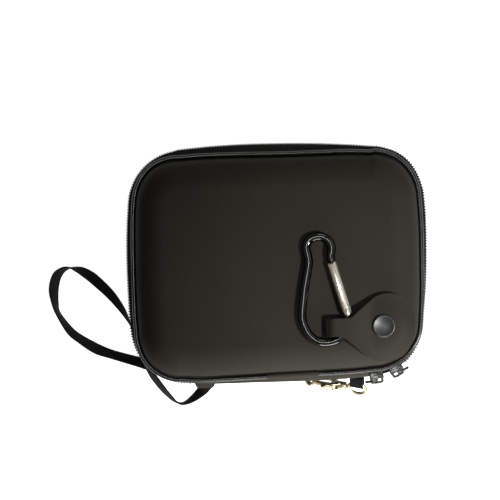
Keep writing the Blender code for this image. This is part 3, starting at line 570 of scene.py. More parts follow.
strapMake = {
    "width": 6.4 * mm, "thick": 0.9 * mm, "length": 0.2397,
    "stations": [
        (-37.7, -63.6, 18.0, -82), (-39.2, -65.7, 16.1, -72), (-41.6, -68.1, 14.0, -54), (-44.3, -70.4, 12.2, -39),
        (-46.9, -72.2, 10.8, -27), (-49.2, -73.4, 9.8, -16), (-51.4, -74.0, 9.0, -7), (-53.6, -73.6, 8.4, 2),
        (-55.7, -72.3, 8.0, 11), (-58.2, -69.8, 7.8, 19), (-61.1, -66.6, 7.9, 26), (-64.2, -62.5, 8.3, 30),
        (-67.6, -57.4, 8.6, 29), (-73.4, -46.0, 7.4, 16), (-75.8, -38.8, 5.6, 10), (-77.9, -32.8, 4.2, 2),
        (-80.0, -28.2, 3.4, -12), (-83.1, -22.8, 3.1, -29), (-89.0, -15.1, 2.6, -49), (-96.2, -8.0, 2.2, -60),
        (-99.9, -5.0, 2.3, -56), (-103.5, -2.8, 2.8, -43), (-106.6, -1.6, 3.3, -23), (-110.4, -0.8, 3.4, 4),
        (-114.2, -2.0, 3.2, 28), (-117.3, -5.4, 2.6, 50), (-118.9, -12.0, 2.4, 54), (-118.4, -19.0, 3.0, 34),
        (-116.7, -25.1, 3.3, 20), (-110.6, -34.3, 3.0, 38), (-105.1, -38.9, 2.8, 44), (-96.7, -44.2, 2.1, 60),
        (-88.4, -47.4, 2.6, 47), (-75.2, -51.4, 2.2, 55), (-70.6, -52.8, 1.8, 64), (-65.0, -54.4, 2.1, 58),
        (-58.2, -56.6, 3.2, 40), (-52.8, -55.5, 5.2, 36), (-47.5, -54.0, 6.7, 32), (-42.0, -54.3, 6.8, 31),
        (-36.5, -54.7, 6.8, 31),
    ],
}


def evenRoute(route, count):
    lengths = [0.0]
    for here, there in zip(route, route[1:]):
        lengths.append(lengths[-1] + dist(here[:3], there[:3]))
    out, i = [], 0
    for k in range(count):
        want = lengths[-1] * k / (count - 1)
        while i < len(route) - 2 and lengths[i + 1] < want:
            i += 1
        t = (want - lengths[i]) / max(lengths[i + 1] - lengths[i], 1e-12)
        out.append(tuple(a + (b - a) * t for a, b in zip(route[i], route[i + 1])))
    return out


def makeStrap():
    route = evenRoute(smoothRoute(strapMake["stations"], 16), 301)
    points = inMm(station[:3] for station in route)
    strap = newCurve("wristStrapWebbing", points)
    strap.data.twist_mode = "Z_UP"
    strap.data.bevel_depth = strapMake["thick"] / 2
    strap.data.bevel_resolution = 3
    strap.data.extrude = (strapMake["width"] - strapMake["thick"]) / 2
    strap.data.use_fill_caps = True
    for place, station in zip(strap.data.splines[0].points, route):
        place.tilt = radians(station[3])
    finishPiece(smoothBy(weld(toMesh(strap)), 50), "base", "strap", "wrist_strap")


makeStrap()
print("strap laid")

# the case's levels in mm, and its outlines, walked by the angle of their outward normal

caseMake = {"height": 46.0, "middle": 23.0, "backRim": 16.0, "frontRim": 30.0}

outlineMake = inMm({
    "longCrown": 529.0, "sideCrown": 393.0, "corner": 24.0,
    "rim": (149.5, 115.0), "piping": (149.2, 116.2), "band": (147.6, 117.6),
    # how far the soft case bulges out of true in mm, at even steps counter-clockwise from the right
    "rimSwell": [1.0, 1.25, 1.5, 1.9, 2.3, 1.4, 0.2, -0.9, -1.6, -1.9, -1.7, -1.3,
                 -0.8, -0.3, 0.5, 0.1, 0.0, -0.3, -0.5, -0.4, 0.0, 0.9, 3.4, 4.2,
                 3.4, 2.1, 1.1, 0.3, -0.05, 0.0, 0.2, 0.4, 0.9, 1.4, 1.3, 1.15],
    "bandSwell": [1.2, 1.6, 2.0, 1.7, 1.7, 0.1, -0.2, -0.3, -0.35, -0.4, -0.3, -0.25,
                  -0.3, -0.8, -0.4, 0.2, 0.6, 0.6, 0.5, 0.4, 0.5, 0.5, 0.9, 1.3,
                  1.5, 0.7, 0.0, -0.3, -0.3, -0.2, -0.1, 0.0, 0.0, 0.0, 0.4, 0.9],
})


class Outline:
    def __init__(self, size, swell):
        self.halfWidth, self.halfHeight = size[0] / 2, size[1] / 2
        long, side, bend = outlineMake["longCrown"], outlineMake["sideCrown"], outlineMake["corner"]
        self.long, self.side, self.bend = long, side, bend
        longCentre = Vector((0, self.halfHeight - long))
        sideCentre = Vector((self.halfWidth - side, 0))
        line = sideCentre - longCentre
        along = ((long - bend) ** 2 - (side - bend) ** 2 + line.length_squared) / (2 * line.length)
        away = sqrt((long - bend) ** 2 - along ** 2)
        line.normalize()
        self.corner = longCentre + line * along + Vector((line.y, -line.x)) * away
        self.longSpan = atan2(self.corner.x, self.corner.y - self.halfHeight + long)
        self.sideSpan = atan2(self.corner.y, self.corner.x - self.halfWidth + side)
        self.swell = []
        self.stops = self.walk(0, tau, count=len(swell) + 1)
        self.swell = swell

    def bulge(self, normal):
        if not self.swell:
            return 0.0
        turn, count = normal % tau, len(self.swell)
        i = min(bisect.bisect_right(self.stops, turn) - 1, count - 1)
        t = (turn - self.stops[i]) / (self.stops[i + 1] - self.stops[i])
        return curved(*(self.swell[(i + step) % count] for step in (-1, 0, 1, 2)), t)

    def point(self, normal, outset=0.0):
        across, up = cos(normal), sin(normal)
        if abs(across) < sin(self.longSpan):
            centre, radius = (0, copysign(self.halfHeight - self.long, -up)), self.long
        elif abs(up) < sin(self.sideSpan):
            centre, radius = (copysign(self.halfWidth - self.side, -across), 0), self.side
        else:
            centre, radius = (copysign(self.corner.x, across), copysign(self.corner.y, up)), self.bend
        radius += outset + self.bulge(normal)
        return (centre[0] + radius * across, centre[1] + radius * up)

    def outset(self, x, y):
        across, up = abs(x), abs(y)
        fromCorner = Vector((across, up)) - self.corner
        fromLong = Vector((across, up - self.halfHeight + self.long))
        fromSide = Vector((across - self.halfWidth + self.side, up))
        over, beside = fromLong.length - self.long, fromSide.length - self.side
        turn = atan2(fromCorner.y, fromCorner.x)
        if self.sideSpan < turn < pi / 2 - self.longSpan:
            reach, way = fromCorner.length - self.bend, fromCorner
        else:
            reach, way = (over, fromLong) if over > beside else (beside, fromSide)
        return reach - self.bulge(atan2(copysign(way.y, y), copysign(way.x, x)))

    def walk(self, start, end, spacing=1.0, outset=0.0, count=None):
        fine = [start + (end - start) * i / 6000 for i in range(6001)]
        route = [(*self.point(a, outset), 0.0, a) for a in fine]
        length = sum(dist(p[:2], q[:2]) for p, q in zip(route, route[1:]))
        return [p[3] for p in evenRoute(route, count or max(3, round(length / spacing) + 1))]


rim = Outline(outlineMake["rim"], outlineMake["rimSwell"])
pipingLine = Outline(outlineMake["piping"], outlineMake["rimSwell"])
band = Outline(outlineMake["band"], outlineMake["bandSwell"])


def bottomNormal(x):
    return -pi / 2 + asin(x / outlineMake["longCrown"])


def sweepAlong(name, outline, section, start, end, spacing=1.0 * mm):
    path = newCurve(name, [outline.point(a) for a in outline.walk(start, end, spacing)], flat=True)
    guide = newCurve(name + "Section", section, True, True)
    path.data.bevel_mode = "OBJECT"
    path.data.bevel_object = guide
    path.data.use_fill_caps = True
    weld(toMesh(path))
    bpy.data.objects.remove(guide, do_unlink=True)
    return path


def stripSection(points, thickness):
    line = [Vector(p[:2]) for p in points]
    ways = [(b - a).normalized() for a, b in zip(line, line[1:])]
    sides = []
    for before, after in zip([ways[0]] + ways, ways + [ways[-1]]):
        middle = (before + after).normalized()
        sides.append(Vector((-middle.y, middle.x)) * thickness / 2 / middle.dot(after))
    return [p + s for p, s in zip(line, sides)] + [p - s for p, s in zip(line, sides)][::-1]


def turnedDown(section):
    return [(outset, caseMake["height"] * mm - height) for outset, height in section][::-1]


# shells and linings: a rounded oblong cup with a flat face

cupMake = inMm({"depth": 16.0, "shoulder": 15.0, "wall": 3.0, "gap": 0.3, "lining": 1.0})


def cupRings(inset, wall, rows):
    shoulder, straight = cupMake["shoulder"], cupMake["depth"] - cupMake["shoulder"]
    sides = []
    for radius in (shoulder - inset, shoulder - inset - wall):
        turns = [radians(90 * i / rows) for i in range(rows + 1)]
        side = [(radius - shoulder, 0.0, 1.0)]
        side += [(radius * cos(t) - shoulder, straight + radius * sin(t), 1.0) for t in turns]
        top = straight + radius
        side += [(-shoulder, top, share) for share in (0.994, 0.975, 0.93, 0.8, 0.5, 0.25)]  # flat up to its edge
        sides.append(side)
    return sides[0], sides[1][::-1]


def makeCup(name, inset, wall, matrix, rows):
    spots = rim.walk(0, tau, 1.6 * mm)[:-1]
    count = len(spots)
    outer, inner = cupRings(inset, wall, rows)
    points, faces = [], []
    for outset, height, share in outer + inner:
        points += [(x * share, y * share, height) for x, y in (rim.point(a, outset) for a in spots)]
    rings = len(outer) + len(inner)
    for row in range(rings):
        here, there = row * count, (row + 1) % rings * count
        if row == len(outer) - 1:  # the outer and the inner face each end in one flat face
            faces += [tuple(here + i for i in range(count)), tuple(there + i for i in reversed(range(count)))]
        else:
            faces += [(here + i, here + (i + 1) % count, there + (i + 1) % count, there + i) for i in range(count)]
    mesh = bpy.data.meshes.new(name)
    mesh.from_pydata(points, [], faces)
    return smoothBy(weld(settle(linked(name, mesh), matrix)), 40)


def makeShells():
    faceDown = moved(0, 0, caseMake["backRim"] * mm) @ turned(180, "X")
    faceUp = moved(0, 0, caseMake["frontRim"] * mm)
    for side, body, matrix in (("back", "base", faceDown), ("front", "lid", faceUp)):
        shell = makeCup(side + "ShellMoulding", 0.0, cupMake["wall"], matrix, 14)
        finishPiece(shell, body, "shell", side + "_shell")
        inset = cupMake["wall"] + cupMake["gap"]
        lining = makeCup(side + "LiningKnit", inset, cupMake["lining"], matrix, 10)
        finishPiece(lining, body, "lining", side + "_lining")


makeShells()
print("shells and linings moulded")

# piping with its sleeves

pipingMake = inMm({"radius": 1.2, "outset": 1.5, "sleeve": 1.45, "left": -6.0, "right": 21.5})


def makePiping():
    left, right = bottomNormal(pipingMake["left"]), bottomNormal(pipingMake["right"])
    for side, body in (("back", "base"), ("front", "lid")):
        centre = (pipingMake["outset"], caseMake[side + "Rim"] * mm)
        cord = ringPoints(centre, pipingMake["radius"], 18)
        piping = sweepAlong(side + "PipingCord", pipingLine, cord, right - 0.004, left + tau + 0.004, 1.2 * mm)
        finishPiece(smoothBy(piping, 40), body, "piping", side + "_piping")
        tube = ringPoints(centre, pipingMake["sleeve"], 24)
        sleeve = sweepAlong(side + "PipingSleeve", pipingLine, tube, left, right, 0.8 * mm)
        finishPiece(smoothBy(bevelEdges(sleeve, 0.18, 2, 60), 40), body, "trim", side + "_piping_sleeve")


makePiping()
print("piping swept")

# zip: woven tapes and the two halves of the coil

zipMake = inMm({
    "pitch": 1.5, "outset": 4.3, "lift": 1.15, "left": -45.6, "right": 47.0, "tooth": (1.75, 1.02, 1.95),
    "setBack": 0.65, "cord": (3.95, 24.2), "cordRadius": 0.62, "tapeThick": 0.6, "hemThick": 0.5,
    "tape": [(-2.4, 29.3), (-1.5, 29.05), (-0.9, 28.7), (0.3, 27.6), (1.6, 26.45), (2.75, 25.4)],
    "selvedge": [(2.6, 25.5), (3.5, 24.75)],
}) | {"open": -50, "taper": (0.84, 0.86)}


def makeTooth():
    tooth = startShape("zipTooth", bpy.ops.mesh.primitive_cube_add, size=1.0)
    tooth.scale = zipMake["tooth"]
    settle(tooth)
    for corner in tooth.data.vertices:  # narrower towards the outside
        if corner.co.x > 0:
            corner.co.y *= zipMake["taper"][0]
            corner.co.z *= zipMake["taper"][1]
    return bevelEdges(tooth, 0.26, 2)


def copyAlong(name, source, places):
    points = [v.co.copy() for v in source.data.vertices]
    faces = [tuple(p.vertices) for p in source.data.polygons]
    allPoints, allFaces = [], []
    for matrix in places:
        start = len(allPoints)
        allPoints += [matrix @ p for p in points]
        allFaces += [tuple(i + start for i in face) for face in faces]
    mesh = bpy.data.meshes.new(name)
    mesh.from_pydata(allPoints, [], allFaces)
    return linked(name, mesh)


def makeZip():
    start, end = bottomNormal(zipMake["right"]), bottomNormal(zipMake["left"]) + tau
    tapeSection = stripSection(zipMake["tape"], zipMake["tapeThick"])
    cordSection = ringPoints(zipMake["cord"], zipMake["cordRadius"], 10)
    hemSection = stripSection(zipMake["selvedge"], zipMake["hemThick"])
    tooth = makeTooth()
    for side, body, first in (("front", "lid", radians(zipMake["open"])), ("back", "base", start)):
        front = side == "front"
        sections = (tapeSection, cordSection, hemSection)
        tapeLine, cordLine, hemLine = sections if front else map(turnedDown, sections)
        tape = smoothBy(sweepAlong(side + "ZipTape", band, tapeLine, start, end), 50)
        finishPiece(tape, body, "tape", "zip_tape_" + side)
        level = caseMake["middle"] * mm + (zipMake["lift"] if front else -zipMake["lift"])
        walk = band.walk(first, end, zipMake["pitch"] / 2, zipMake["outset"])
        places = []
        for normal in walk[(2 if front else 1)::2]:
            x, y = band.point(normal, zipMake["outset"] - (0.0 if front else zipMake["setBack"]))
            places.append(moved(x, y, level) @ Matrix.Rotation(normal, 4, "Z"))
        teeth = copyAlong(side + "ZipTeeth", tooth, places)
        cord = sweepAlong(side + "ZipCord", band, cordLine, first, end)
        selvedge = sweepAlong(side + "ZipSelvedge", band, hemLine, first, end)
        coil = smoothBy(joinUp(side + "ZipCoil", [teeth, cord, selvedge]), 50)
        finishPiece(coil, body, "coil", "zip_coil_" + side)
    bpy.data.objects.remove(tooth, do_unlink=True)


makeZip()
print("zip made")

# spine strip: a bowed strip swept along the bottom of the band, attached to no body

spineMake = inMm({"left": -46.6, "right": 47.6, "thick": 0.8}) | {
    "bow": [(-2.7, 8.2), (-2.5, 7.0), (-1.6, 6.1), (-0.6, 5.75), (0.4, 5.3), (1.7, 4.6), (2.8, 3.7), (3.7, 2.8),
            (4.2, 1.7), (4.35, 0.0)],
}


def makeSpine():
    half = spineMake["bow"]
    bow = half + [(outset, -height) for outset, height in half[-2::-1]]
    line = inMm((outset, caseMake["middle"] + height) for outset, height in bow)
    left, right = bottomNormal(spineMake["left"]), bottomNormal(spineMake["right"])
    spine = sweepAlong("spineFlex", band, stripSection(line, spineMake["thick"]), left, right)
    finishPiece(smoothBy(spine, 50), None, "trim", "spine_strip")
    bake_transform(spine)


makeSpine()
print("spine swept")

# press-stud flap: a round end draped over the shoulder, a neck over the carabiner and a fold

flapMake = inMm({
    "foldX": 26.3, "foldZ": 47.7, "leather": 1.1, "x": 56.0, "y": -34.3, "radius": 18.0, "neck": 4.8, "neckY": -34.7,
    "drop": [(36.4, -29.9), (38.9, -29.5), (41.9, -26.8), (45.2, -23.9), (48.4, -21.2), (51.7, -18.8), (55.5, -17.4),
             (59.4, -17.1), (63.4, -17.9), (67.0, -20.0), (69.9, -23.5), (71.4, -27.6), (72.0, -32.0), (71.9, -36.5),
             (71.0, -41.0), (69.2, -45.2), (66.4, -48.8), (62.7, -51.2), (58.6, -52.3), (54.6, -52.4), (50.9, -51.9),
             (47.5, -50.3), (44.6, -47.9), (41.6, -45.4), (38.2, -42.6), (35.2, -40.4), (32.4, -39.5)],
    "stack": 3.3, "flat": 6.5, "lift": 0.6, "hump": 51.65, "rest": 49.3,
    "rise": (26.0, 29.4), "fall": (37.8, 53.0), "join": (44.0, 54.0), "curl": 0.3, "hang": 0.2,
}) | {"drape": 0.45, "spots": 288, "rings": 34}


def faceHeight(x, y):
    shoulder = cupMake["shoulder"]
    reach = min(max(shoulder + rim.outset(x, y), 0), shoulder)
    return caseMake["height"] * mm - shoulder + sqrt(shoulder ** 2 - reach ** 2)


def neckHeight(x):
    start, hump = flapMake["foldZ"] + flapMake["curl"], flapMake["hump"]
    up, down = easeStep(*flapMake["rise"], x), easeStep(*flapMake["fall"], x)
    return start + (hump - start) * up - (hump - flapMake["rest"]) * down


def flapUnder(x, y):
    away = hypot(x - flapMake["x"], y - flapMake["y"])
    share = easeStep(flapMake["flat"], flapMake["radius"], away) * flapMake["drape"]
    draped = faceHeight(x, y) + flapMake["lift"]
    level = (1 - share) * (caseMake["height"] * mm + flapMake["stack"]) + share * draped
    nearNeck = 1 - easeStep(*flapMake["join"], x)
    raised = neckHeight(x)
    return level + (raised - level) * nearNeck if raised > level else level


def makeFlap():
    count, rings = flapMake["spots"], flapMake["rings"]
    left, y, neck = flapMake["foldX"] - flapMake["hang"], flapMake["neckY"], flapMake["neck"]
    edge = [(left, y - neck), (left, y + neck)] + smoothRoute(flapMake["drop"], 6) + [(left, y - neck)]
    border = evenRoute([(*p, 0.0) for p in edge], count + 1)[:-1]
    ring = bpy.ops.mesh.primitive_circle_add
    flap = startShape("flapLeather", ring, vertices=count, radius=1.0, fill_type="NGON")
    editAll(flap, "FACE")
    for i in range(rings - 1):
        bpy.ops.mesh.inset(thickness=1.0 / rings, use_even_offset=False)
    leaveEdit()
    middle = Vector((flapMake["x"], flapMake["y"]))
    for spot in flap.data.vertices:
        share = hypot(spot.co.x, spot.co.y)
        i = round(atan2(spot.co.y, spot.co.x) / tau * count) % count
        place = middle + (Vector(border[i][:2]) - middle) * min(share, 1.0)
        spot.co = (place.x, place.y, flapUnder(place.x, place.y))
    soft = flap.modifiers.new("Drape", "SMOOTH")
    soft.factor = 0.5
    soft.iterations = 6
    soft.use_x = soft.use_y = False
    solid = flap.modifiers.new("Leather", "SOLIDIFY")
    solid.thickness = flapMake["leather"]
    solid.offset = -1.0
    smoothBy(bevelEdges(weld(applyAll(flap)), 0.28, 3, 50), 45)
    fold = arcPoints((0, 0), flapMake["curl"] + flapMake["leather"] / 2, 80, 300, 24)
    curl = newCurve("flapCurl", fold, flat=True)
    curl.data.extrude = flapMake["neck"] - 0.35 * mm
    curl.data.bevel_depth = flapMake["leather"] / 2
    curl.data.bevel_resolution = 3
    stand = moved(flapMake["foldX"], flapMake["neckY"], flapMake["foldZ"])
    smoothBy(settle(weld(toMesh(curl)), stand @ turned(90, "X")), 50)
    finishPiece(joinUp("flapLeather", [flap, curl]), "flap", "leather", "snap_flap")


# the stud's dished cap, in mm from the face, and the flap's lower layer, narrowed about its middle

studMake = {
    "dish": 5.1, "low": 5.0, "rise": 0.85, "lip": (5.35, 5.15), "lipRadius": 0.75,
    "tailFrom": -34.0 * mm, "tailTo": -34.6 * mm, "tailWidth": 0.9,
    "under": [(5.9, 4.55), (5.7, 4.5), (2.0, 4.5), (2.0, 3.25), (0, 3.25)],
}


def makeStud():
    place = moved(flapMake["x"], flapMake["y"], caseMake["height"] * mm)
    dish = [(studMake["dish"] * i / 20, studMake["low"] + studMake["rise"] * (i / 20) ** 1.8) for i in range(20)]
    edge = arcPoints(studMake["lip"], studMake["lipRadius"], 115, -30, 12)
    cap = settle(turnedPiece("studCap", dish + edge + studMake["under"], 72), place)
    finishPiece(smoothBy(cap, 40), "flap", "cap", "snap_cap")
    tail = refineNode("flapTail", "snap_tail", "lid", "leather", 0.2)
    narrow = Matrix.Diagonal((1, studMake["tailWidth"], 1, 1))
    settle(tail, moved(0, studMake["tailTo"], 0) @ narrow @ moved(0, -studMake["tailFrom"], 0))
    for node in ("snap_socket", "snap_stud", "snap_post"):
        wear(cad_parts[node], skin["nickel"][1])


makeFlap()
makeStud()
print("flap and stud made")

# carabiner: bent wire, riveted tongue and a slotted tube for a gate

clipMake = inMm({"bar": (35.2, -34.4, 49.3), "wire": 2.2, "gate": 2.5, "hole": 0.75}) | {
    "turn": 71.9, "dip": -2.4, "pivot": (8.7, 1.4), "gateTurn": 34.8, "tip": 26.3,
    "noseScales": [0.42, 0.42, 0.75, 0.95], "barScales": [0.88, 0.88, 0.88, 0.78],
    "barEnd": [(-2.0, 0.0, 0.0), (2.0, 0.0, 0.0), (4.9, 0.0, 0.0), (5.2, 0.0, 0.0)],
    "route": [(31.4, 16.7), (33.6, 17.9), (37.6, 18.5), (41.0, 21.2), (41.8, 26.2), (39.0, 30.6), (34.6, 31.6),
              (30.6, 29.6), (26.0, 27.6), (14.0, 26.0), (1.4, 23.5), (-3.6, 21.7), (-8.5, 17.6), (-11.0, 12.7),
              (-11.2, 8.4), (-9.4, 4.0), (-7.0, 1.1), (-4.6, 0.1)],
}
clipPlace = moved(*clipMake["bar"]) @ (turned(clipMake["turn"], "Z") @ turned(clipMake["dip"], "X"))
gatePlace = clipPlace @ moved(*inMm(clipMake["pivot"]), 0) @ turned(clipMake["gateTurn"], "Z")


def pin(name, radius, low, high, sides):
    place = (0, 0, (low + high) / 2)
    rod = bpy.ops.mesh.primitive_cylinder_add
    return settle(startShape(name, rod, vertices=sides, radius=radius, depth=high - low, location=place))


def boxTool(name, low, high):
    middle = [(a + b) / 2 for a, b in zip(low, high)]
    tool = startShape(name, bpy.ops.mesh.primitive_cube_add, size=1.0, location=middle)
    tool.scale = [b - a for a, b in zip(low, high)]
    return settle(tool)


def makeClip():
    gateAim = radians(clipMake["gateTurn"])
    aim = Vector((cos(gateAim), sin(gateAim), 0))
    tip = Vector((*clipMake["pivot"], 0)) + aim * clipMake["tip"]
    bend = smoothRoute([(x, y, 0.0) for x, y in clipMake["route"]], 10)
    nose = [tuple(tip - aim * 3.0), tuple(tip + aim * 0.2), tuple(tip + aim * 0.5), tuple(tip + aim * 0.9)]
    route = inMm(nose + bend + clipMake["barEnd"])
    thinner = [1.0 - 0.008 * i for i in range(14)]  # the wire thins into its bar
    scales = clipMake["noseScales"] + [1.0] * (len(bend) - len(thinner)) + thinner + clipMake["barScales"]
    wire = smoothBy(roundWire("clipWire", route, clipMake["wire"], scales=scales, rings=7), 50)
    pivot = inMm(clipMake["pivot"])
    root = inMm([(4.5, 1.2), (4.5, -1.2)])
    hole = ringPoints(pivot, clipMake["hole"], 24)
    tongue = flatPlate("clipTongue", [root + arcPoints(pivot, 1.4 * mm, -60, 120, 16), hole], 1.5 * mm)
    smoothBy(bevelEdges(tongue, 0.15), 40)
    finishPiece(settle(joinUp("clipWire", [wire, tongue]), clipPlace), "carabiner", "wire", "carabiner_frame")
    head = [(0, 2.58), (0.35, 2.55), (0.58, 2.42), (0.6, 2.3)]
    gateRivet = rivet("clipRivet", head, 28, clipPlace @ moved(*pivot, 0), 50)
    finishPiece(gateRivet, "carabiner", "bright", "gate_rivet")


def makeGate():
    radius, tip, wide, half = clipMake["gate"], clipMake["tip"] * mm, 3 * mm, 1 * mm
    gate = settle(pin("gateTube", radius, -radius, tip, 48), turned(90, "Y"))
    side = arcPoints((0, 0), radius, 90, 270, 24) + [(tip + wide, -wide), (tip + wide, wide)]
    cutWith(gate, flatPlate("gateSide", [side], 2 * wide), "INTERSECT")
    cutWith(gate, boxTool("gateFork", (-2 * wide, -wide, -half), (2 * mm, wide, half)))
    cutWith(gate, boxTool("gateNotch", (tip - 3.5 * mm, -wide, -half), (tip + wide, wide, half)))
    cutWith(gate, pin("gateHole", clipMake["hole"], -4 * mm, 4 * mm, 24))
    cutWith(gate, settle(pin("gateLip", 1.25 * mm, -4 * mm, 4 * mm, 32), moved(tip + 0.4 * mm, 0, 0)))
    smoothBy(bevelEdges(gate, 0.12, degrees=40), 40)
    finishPiece(settle(gate, gatePlace), "gate", "bright", "carabiner_gate")


makeClip()
makeGate()
print("carabiner made")

# trigger clasp in its webbing tab

claspMake = inMm({
    "wire": 1.0, "pin": (12.6, 1.7), "hole": 0.65, "ears": {"claspEarLow": -1.75, "claspEarHigh": 1.75},
}) | {
    "eye": Vector((42.0, -67.6, 13.2)) * mm, "aim": Vector((-0.95, 0.19, -0.24)).normalized(),
    "droop": Vector((0.0, -0.75, -0.66)), "roll": 50, "loop": (4.7, 3.6),
    "shank": [(0, 9.1), (1.2, 9.1), (1.4, 8.95), (1.4, 8.25), (1.3, 8.15), (0.9, 8.1), (0.9, 5.4), (1.15, 4.9),
              (0, 4.7)],
    "barrel": [(0, 10.6), (1.6, 10.6), (2.0, 10.45), (2.3, 10.0), (2.3, 9.3), (2.12, 9.15), (2.12, 8.8), (2.3, 8.65),
               (2.3, 6.5), (2.1, 6.05), (1.85, 5.9), (1.15, 5.9), (1.15, 7.9), (1.75, 7.9), (1.75, 9.4), (0, 9.4)],
    "claw": [(9.9, 0.0), (12.6, -1.9), (16.0, -3.9), (20.5, -4.9), (24.5, -3.8), (26.9, -1.0), (27.0, 1.8),
             (25.4, 3.6), (23.5, 3.6)],
}
eyePlace = axesAt(claspMake["eye"], claspMake["aim"], claspMake["droop"])
level = axesAt(claspMake["eye"], claspMake["aim"], Vector((0, 0, 1)).cross(claspMake["aim"]))
hookPlace = level @ turned(claspMake["roll"], "X")


def makeClaspEye():
    loop = ringPoints((0, 0), claspMake["loop"], 48)
    wire = roundWire("claspLoop", inMm((x, y, 0) for x, y in loop), claspMake["wire"], True, rings=6)
    shank = settle(turnedPiece("claspShank", claspMake["shank"], 32), turned(90, "Y"))
    eye = settle(joinUp("claspLoop", [wire, shank]), eyePlace)
    finishPiece(smoothBy(eye, 45), "swivel_eye", "gold", "clasp_eye")


def makeClaspHook():
    barrel = settle(turnedPiece("claspBarrel", claspMake["barrel"], 40), turned(90, "Y"))
    route = smoothRoute([(x, y, 0.0) for x, y in claspMake["claw"]], 8)
    taper = [1.0 - 0.3 * max(0, i / len(route) - 0.6) / 0.4 for i in range(len(route))]
    taper[-1], taper[-2] = taper[-1] * 0.55, taper[-2] * 0.85
    claw = roundWire("claspClaw", inMm(route), 1.65 * mm, scales=taper, rings=6)
    ear = inMm([(8.8, -1.2), (11.8, -1.2)]) + arcPoints(claspMake["pin"], 1.4 * mm, -60, 120, 14)
    ear += inMm([(8.8, 1.3)])
    hole = ringPoints(claspMake["pin"], claspMake["hole"], 20)
    pieces = [barrel, claw]
    for name, level in claspMake["ears"].items():
        plate = bevelEdges(flatPlate(name, [ear, hole], 0.7 * mm), 0.12)
        pieces.append(settle(plate, moved(0, 0, level)))
    hook = settle(joinUp("claspHook", pieces), hookPlace)
    finishPiece(smoothBy(hook, 45), "hook", "gold", "clasp_hook")
    lever = arcPoints((0, 0), 1.35 * mm, 90, 300, 18) + inMm([(11.4, -0.9)])
    lever += arcPoints((11.4 * mm, -0.25 * mm), 0.62 * mm, -80, 80, 8)
    lever += inMm([(11.2, 0.65), (6.7, 0.95), (6.3, 3.0)])
    lever += arcPoints((5.4 * mm, 3.0 * mm), 0.75 * mm, 0, 180, 8) + inMm([(3.6, 1.2)])
    hole = ringPoints((0, 0), claspMake["hole"], 20)
    plate = bevelEdges(flatPlate("claspLever", [lever, hole], 2.0 * mm), 0.25)
    pinPlace = hookPlace @ moved(*claspMake["pin"], 0)
    finishPiece(smoothBy(settle(plate, pinPlace), 45), "lever", "gold", "clasp_lever")
    leverPin = rivet("claspLeverPin", [(0, 2.2), (0.4, 2.15), (0.55, 2.0), (0.5, 1.9)], 20, pinPlace, 45)
    finishPiece(leverPin, "hook", "gold", "clasp_lever_pin")


tabMake = inMm({"top": 11.2, "end": 8.6, "long": 3.5, "thick": 3.3, "slot": (7.4, 1.5), "seam": -2.3}) | {
    "root": Vector((-38.9, -62.2, 18.9)) * mm, "droop": (0.0, -0.8, -0.6),
}


def makeTabs():
    refineNode("claspTabWebbing", "clasp_tab", "base", "tab", 0.8, 4)
    top, end, long, thick = (tabMake[key] for key in ("top", "end", "long", "thick"))
    half = [(top / 2, 0), (end / 2 + 0.3 * mm, long * 0.75), (end / 2 - 0.5 * mm, long)]
    sides = [(-x, y) for x, y in half] + half[::-1]
    sleeve = flatPlate("strapTabCover", [sides], thick)
    wide, gap = tabMake["slot"]
    cutWith(sleeve, boxTool("tabSlot", (-wide / 2, 1.0 * mm, -gap / 2), (wide / 2, 3 * long, gap / 2)))
    seam = boxTool("tabSeam", (tabMake["seam"] - 0.14 * mm, 0.2 * mm, thick / 2 - 0.25 * mm),
                   (tabMake["seam"] + 0.14 * mm, long - 0.3 * mm, thick))
    cutWith(sleeve, seam)
    bevelEdges(sleeve, 0.35, 3, 40)
    smoothBy(settle(sleeve, axesAt(tabMake["root"], (1, 0, 0), tabMake["droop"])), 40)
    finishPiece(sleeve, "base", "trim", "strap_tab")


makeClaspEye()
makeClaspHook()
makeTabs()
print("clasp and tabs made")

# sliders with a wire bail each, and the pull that lies along the zip

slideMake = inMm({
    "wire": 0.72, "reach": 31.25, "pull": 1.4, "half": 2.1,
    "window": [(0.55, -0.95), (3.8, -0.95), (3.8, 0.95), (0.55, 0.95)],
}) | {
    "lower": (-82.5, -1), "upper": (-60.5, 1),
    "bail": [(-5.4, 6.1), (-5.2, 7.5), (-4.0, 8.3), (4.0, 8.3), (5.2, 7.5), (5.4, 6.1)],
}


def makeSlider(side):
    angle, way = slideMake[side]
    middle = moved(band.corner.x, -band.corner.y, caseMake["middle"] * mm) @ turned(angle, "Z")
    refineNode(side + "SliderBody", "zip_slider_" + side, side + "_slider", "nickel", 0.3, 3)
    legs = []
    for degrees, out in slideMake["bail"]:
        aim = Vector((cos(radians(degrees)), sin(radians(degrees)), 0))
        legs.append(tuple((outlineMake["corner"] + out * mm) * aim))
    bail = roundWire(side + "SliderBail", smoothRoute(legs, 6), slideMake["wire"])
    finishPiece(smoothBy(settle(bail, middle), 50), side + "_slider", "nickel")
    half = slideMake["half"]
    leaf = [(-0.5 * mm, -half), (3.2 * mm, -half)] + arcPoints((4.8 * mm, 0), 1.6 * mm, -90, 90, 12)
    leaf += [(3.2 * mm, half), (-0.5 * mm, half)]
    pull = flatPlate(side + "SliderPull", [leaf, slideMake["window"]], slideMake["pull"])
    bevelEdges(pull, 0.35, 3)
    settle(pull, middle @ moved(slideMake["reach"], 0, 0) @ axesAt((0, 0, 0), (0, way, 0), (0, 0, 1)))
    finishPiece(smoothBy(pull, 45), side + "_pull", "nickel", "zip_pull_" + side)


makeSlider("lower")
makeSlider("upper")
print("sliders finished")

# inside, the net pocket of the lid and the elastic band of the back half

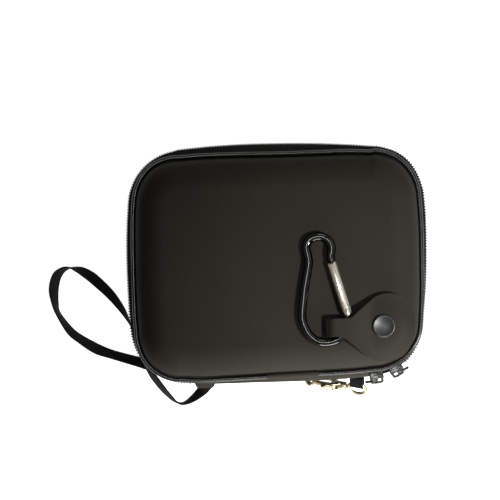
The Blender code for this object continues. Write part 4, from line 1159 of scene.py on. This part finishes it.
insideMake = inMm({
    "inset": -5.3, "top": 20.0, "level": 34.4, "pitch": 3.4, "thread": 0.3, "hem": 1.1, "half": 67.5,
    "band": (138.4, 20), "bandLevel": 12,
})


def threadEnds(offset, way, outline):
    hits = []
    for (ax, ay), (bx, by) in zip(outline, outline[1:] + outline[:1]):
        a, b = ay - way * ax - offset, by - way * bx - offset
        if a * b < 0:
            share = a / (a - b)
            hits.append((ax + share * (bx - ax), ay + share * (by - ay)))
    return sorted(hits)


def makePocket():
    spots = [rim.point(a, insideMake["inset"]) for a in rim.walk(pi * 0.8, pi * 2.2, 2.0 * mm)]
    outline = [(x, y) for x, y in spots if y < insideMake["top"]]
    edge = [(x, insideMake["top"]) for x in (outline[0][0], outline[-1][0])]
    outline = [edge[0]] + outline + [edge[1]]
    level, thread = insideMake["level"], insideMake["thread"]
    net = newCurve("pocketNet", [(x, y, level) for x, y in outline], True)
    for way in (1, -1):
        for i in range(-70, 71):
            hits = threadEnds((i + 0.5) * insideMake["pitch"], way, outline)
            if len(hits) == 2 and abs(hits[0][0] - hits[1][0]) > 1.0 * mm:
                addSpline(net.data, [(*hit, level + way * 0.4 * thread) for hit in hits], False)
    net.data.bevel_depth = thread
    net.data.bevel_resolution = 1
    finishPiece(smoothBy(toMesh(net), 60), "lid", "net", "mesh_pocket")
    flat = (edge[1][0] - edge[0][0], insideMake["top"] - min(y for x, y in outline))
    area = abs(sum(a[0] * b[1] - a[1] * b[0] for a, b in zip(outline, outline[1:] + outline[:1]))) / 2
    hem = [(x, insideMake["top"] + 1.5 * mm, level) for x in (-insideMake["half"], insideMake["half"])]
    route = [tuple(a + (b - a) * i / 60 for a, b in zip(*hem)) for i in range(61)]
    scales = [1.0 + 0.10 * sin(i * 1.9) for i in range(61)]  # gathers of the elastic hem
    binding = roundWire("pocketHem", route, insideMake["hem"], scales=scales, rings=4)
    finishPiece(smoothBy(binding, 60), "lid", "elastic", "pocket_binding")


def makeBand():
    long, wide = insideMake["band"]
    ribs = [(-wide / 2 + wide * i / 80, (0.36 + 0.12 * cos(tau * i / 4)) * mm) for i in range(81)]
    section = ribs + [(y, -z) for y, z in reversed(ribs)]
    band = flatPlate("elasticBand", [section], long)
    turn = Matrix(((0, 0, 1), (1, 0, 0), (0, 1, 0))).to_4x4()
    settle(band, moved(0, 0, insideMake["bandLevel"]) @ turn)
    finishPiece(smoothBy(band, 60), "base", "elastic", "retaining_band")


makePocket()
makeBand()
print("pocket and elastic band made")
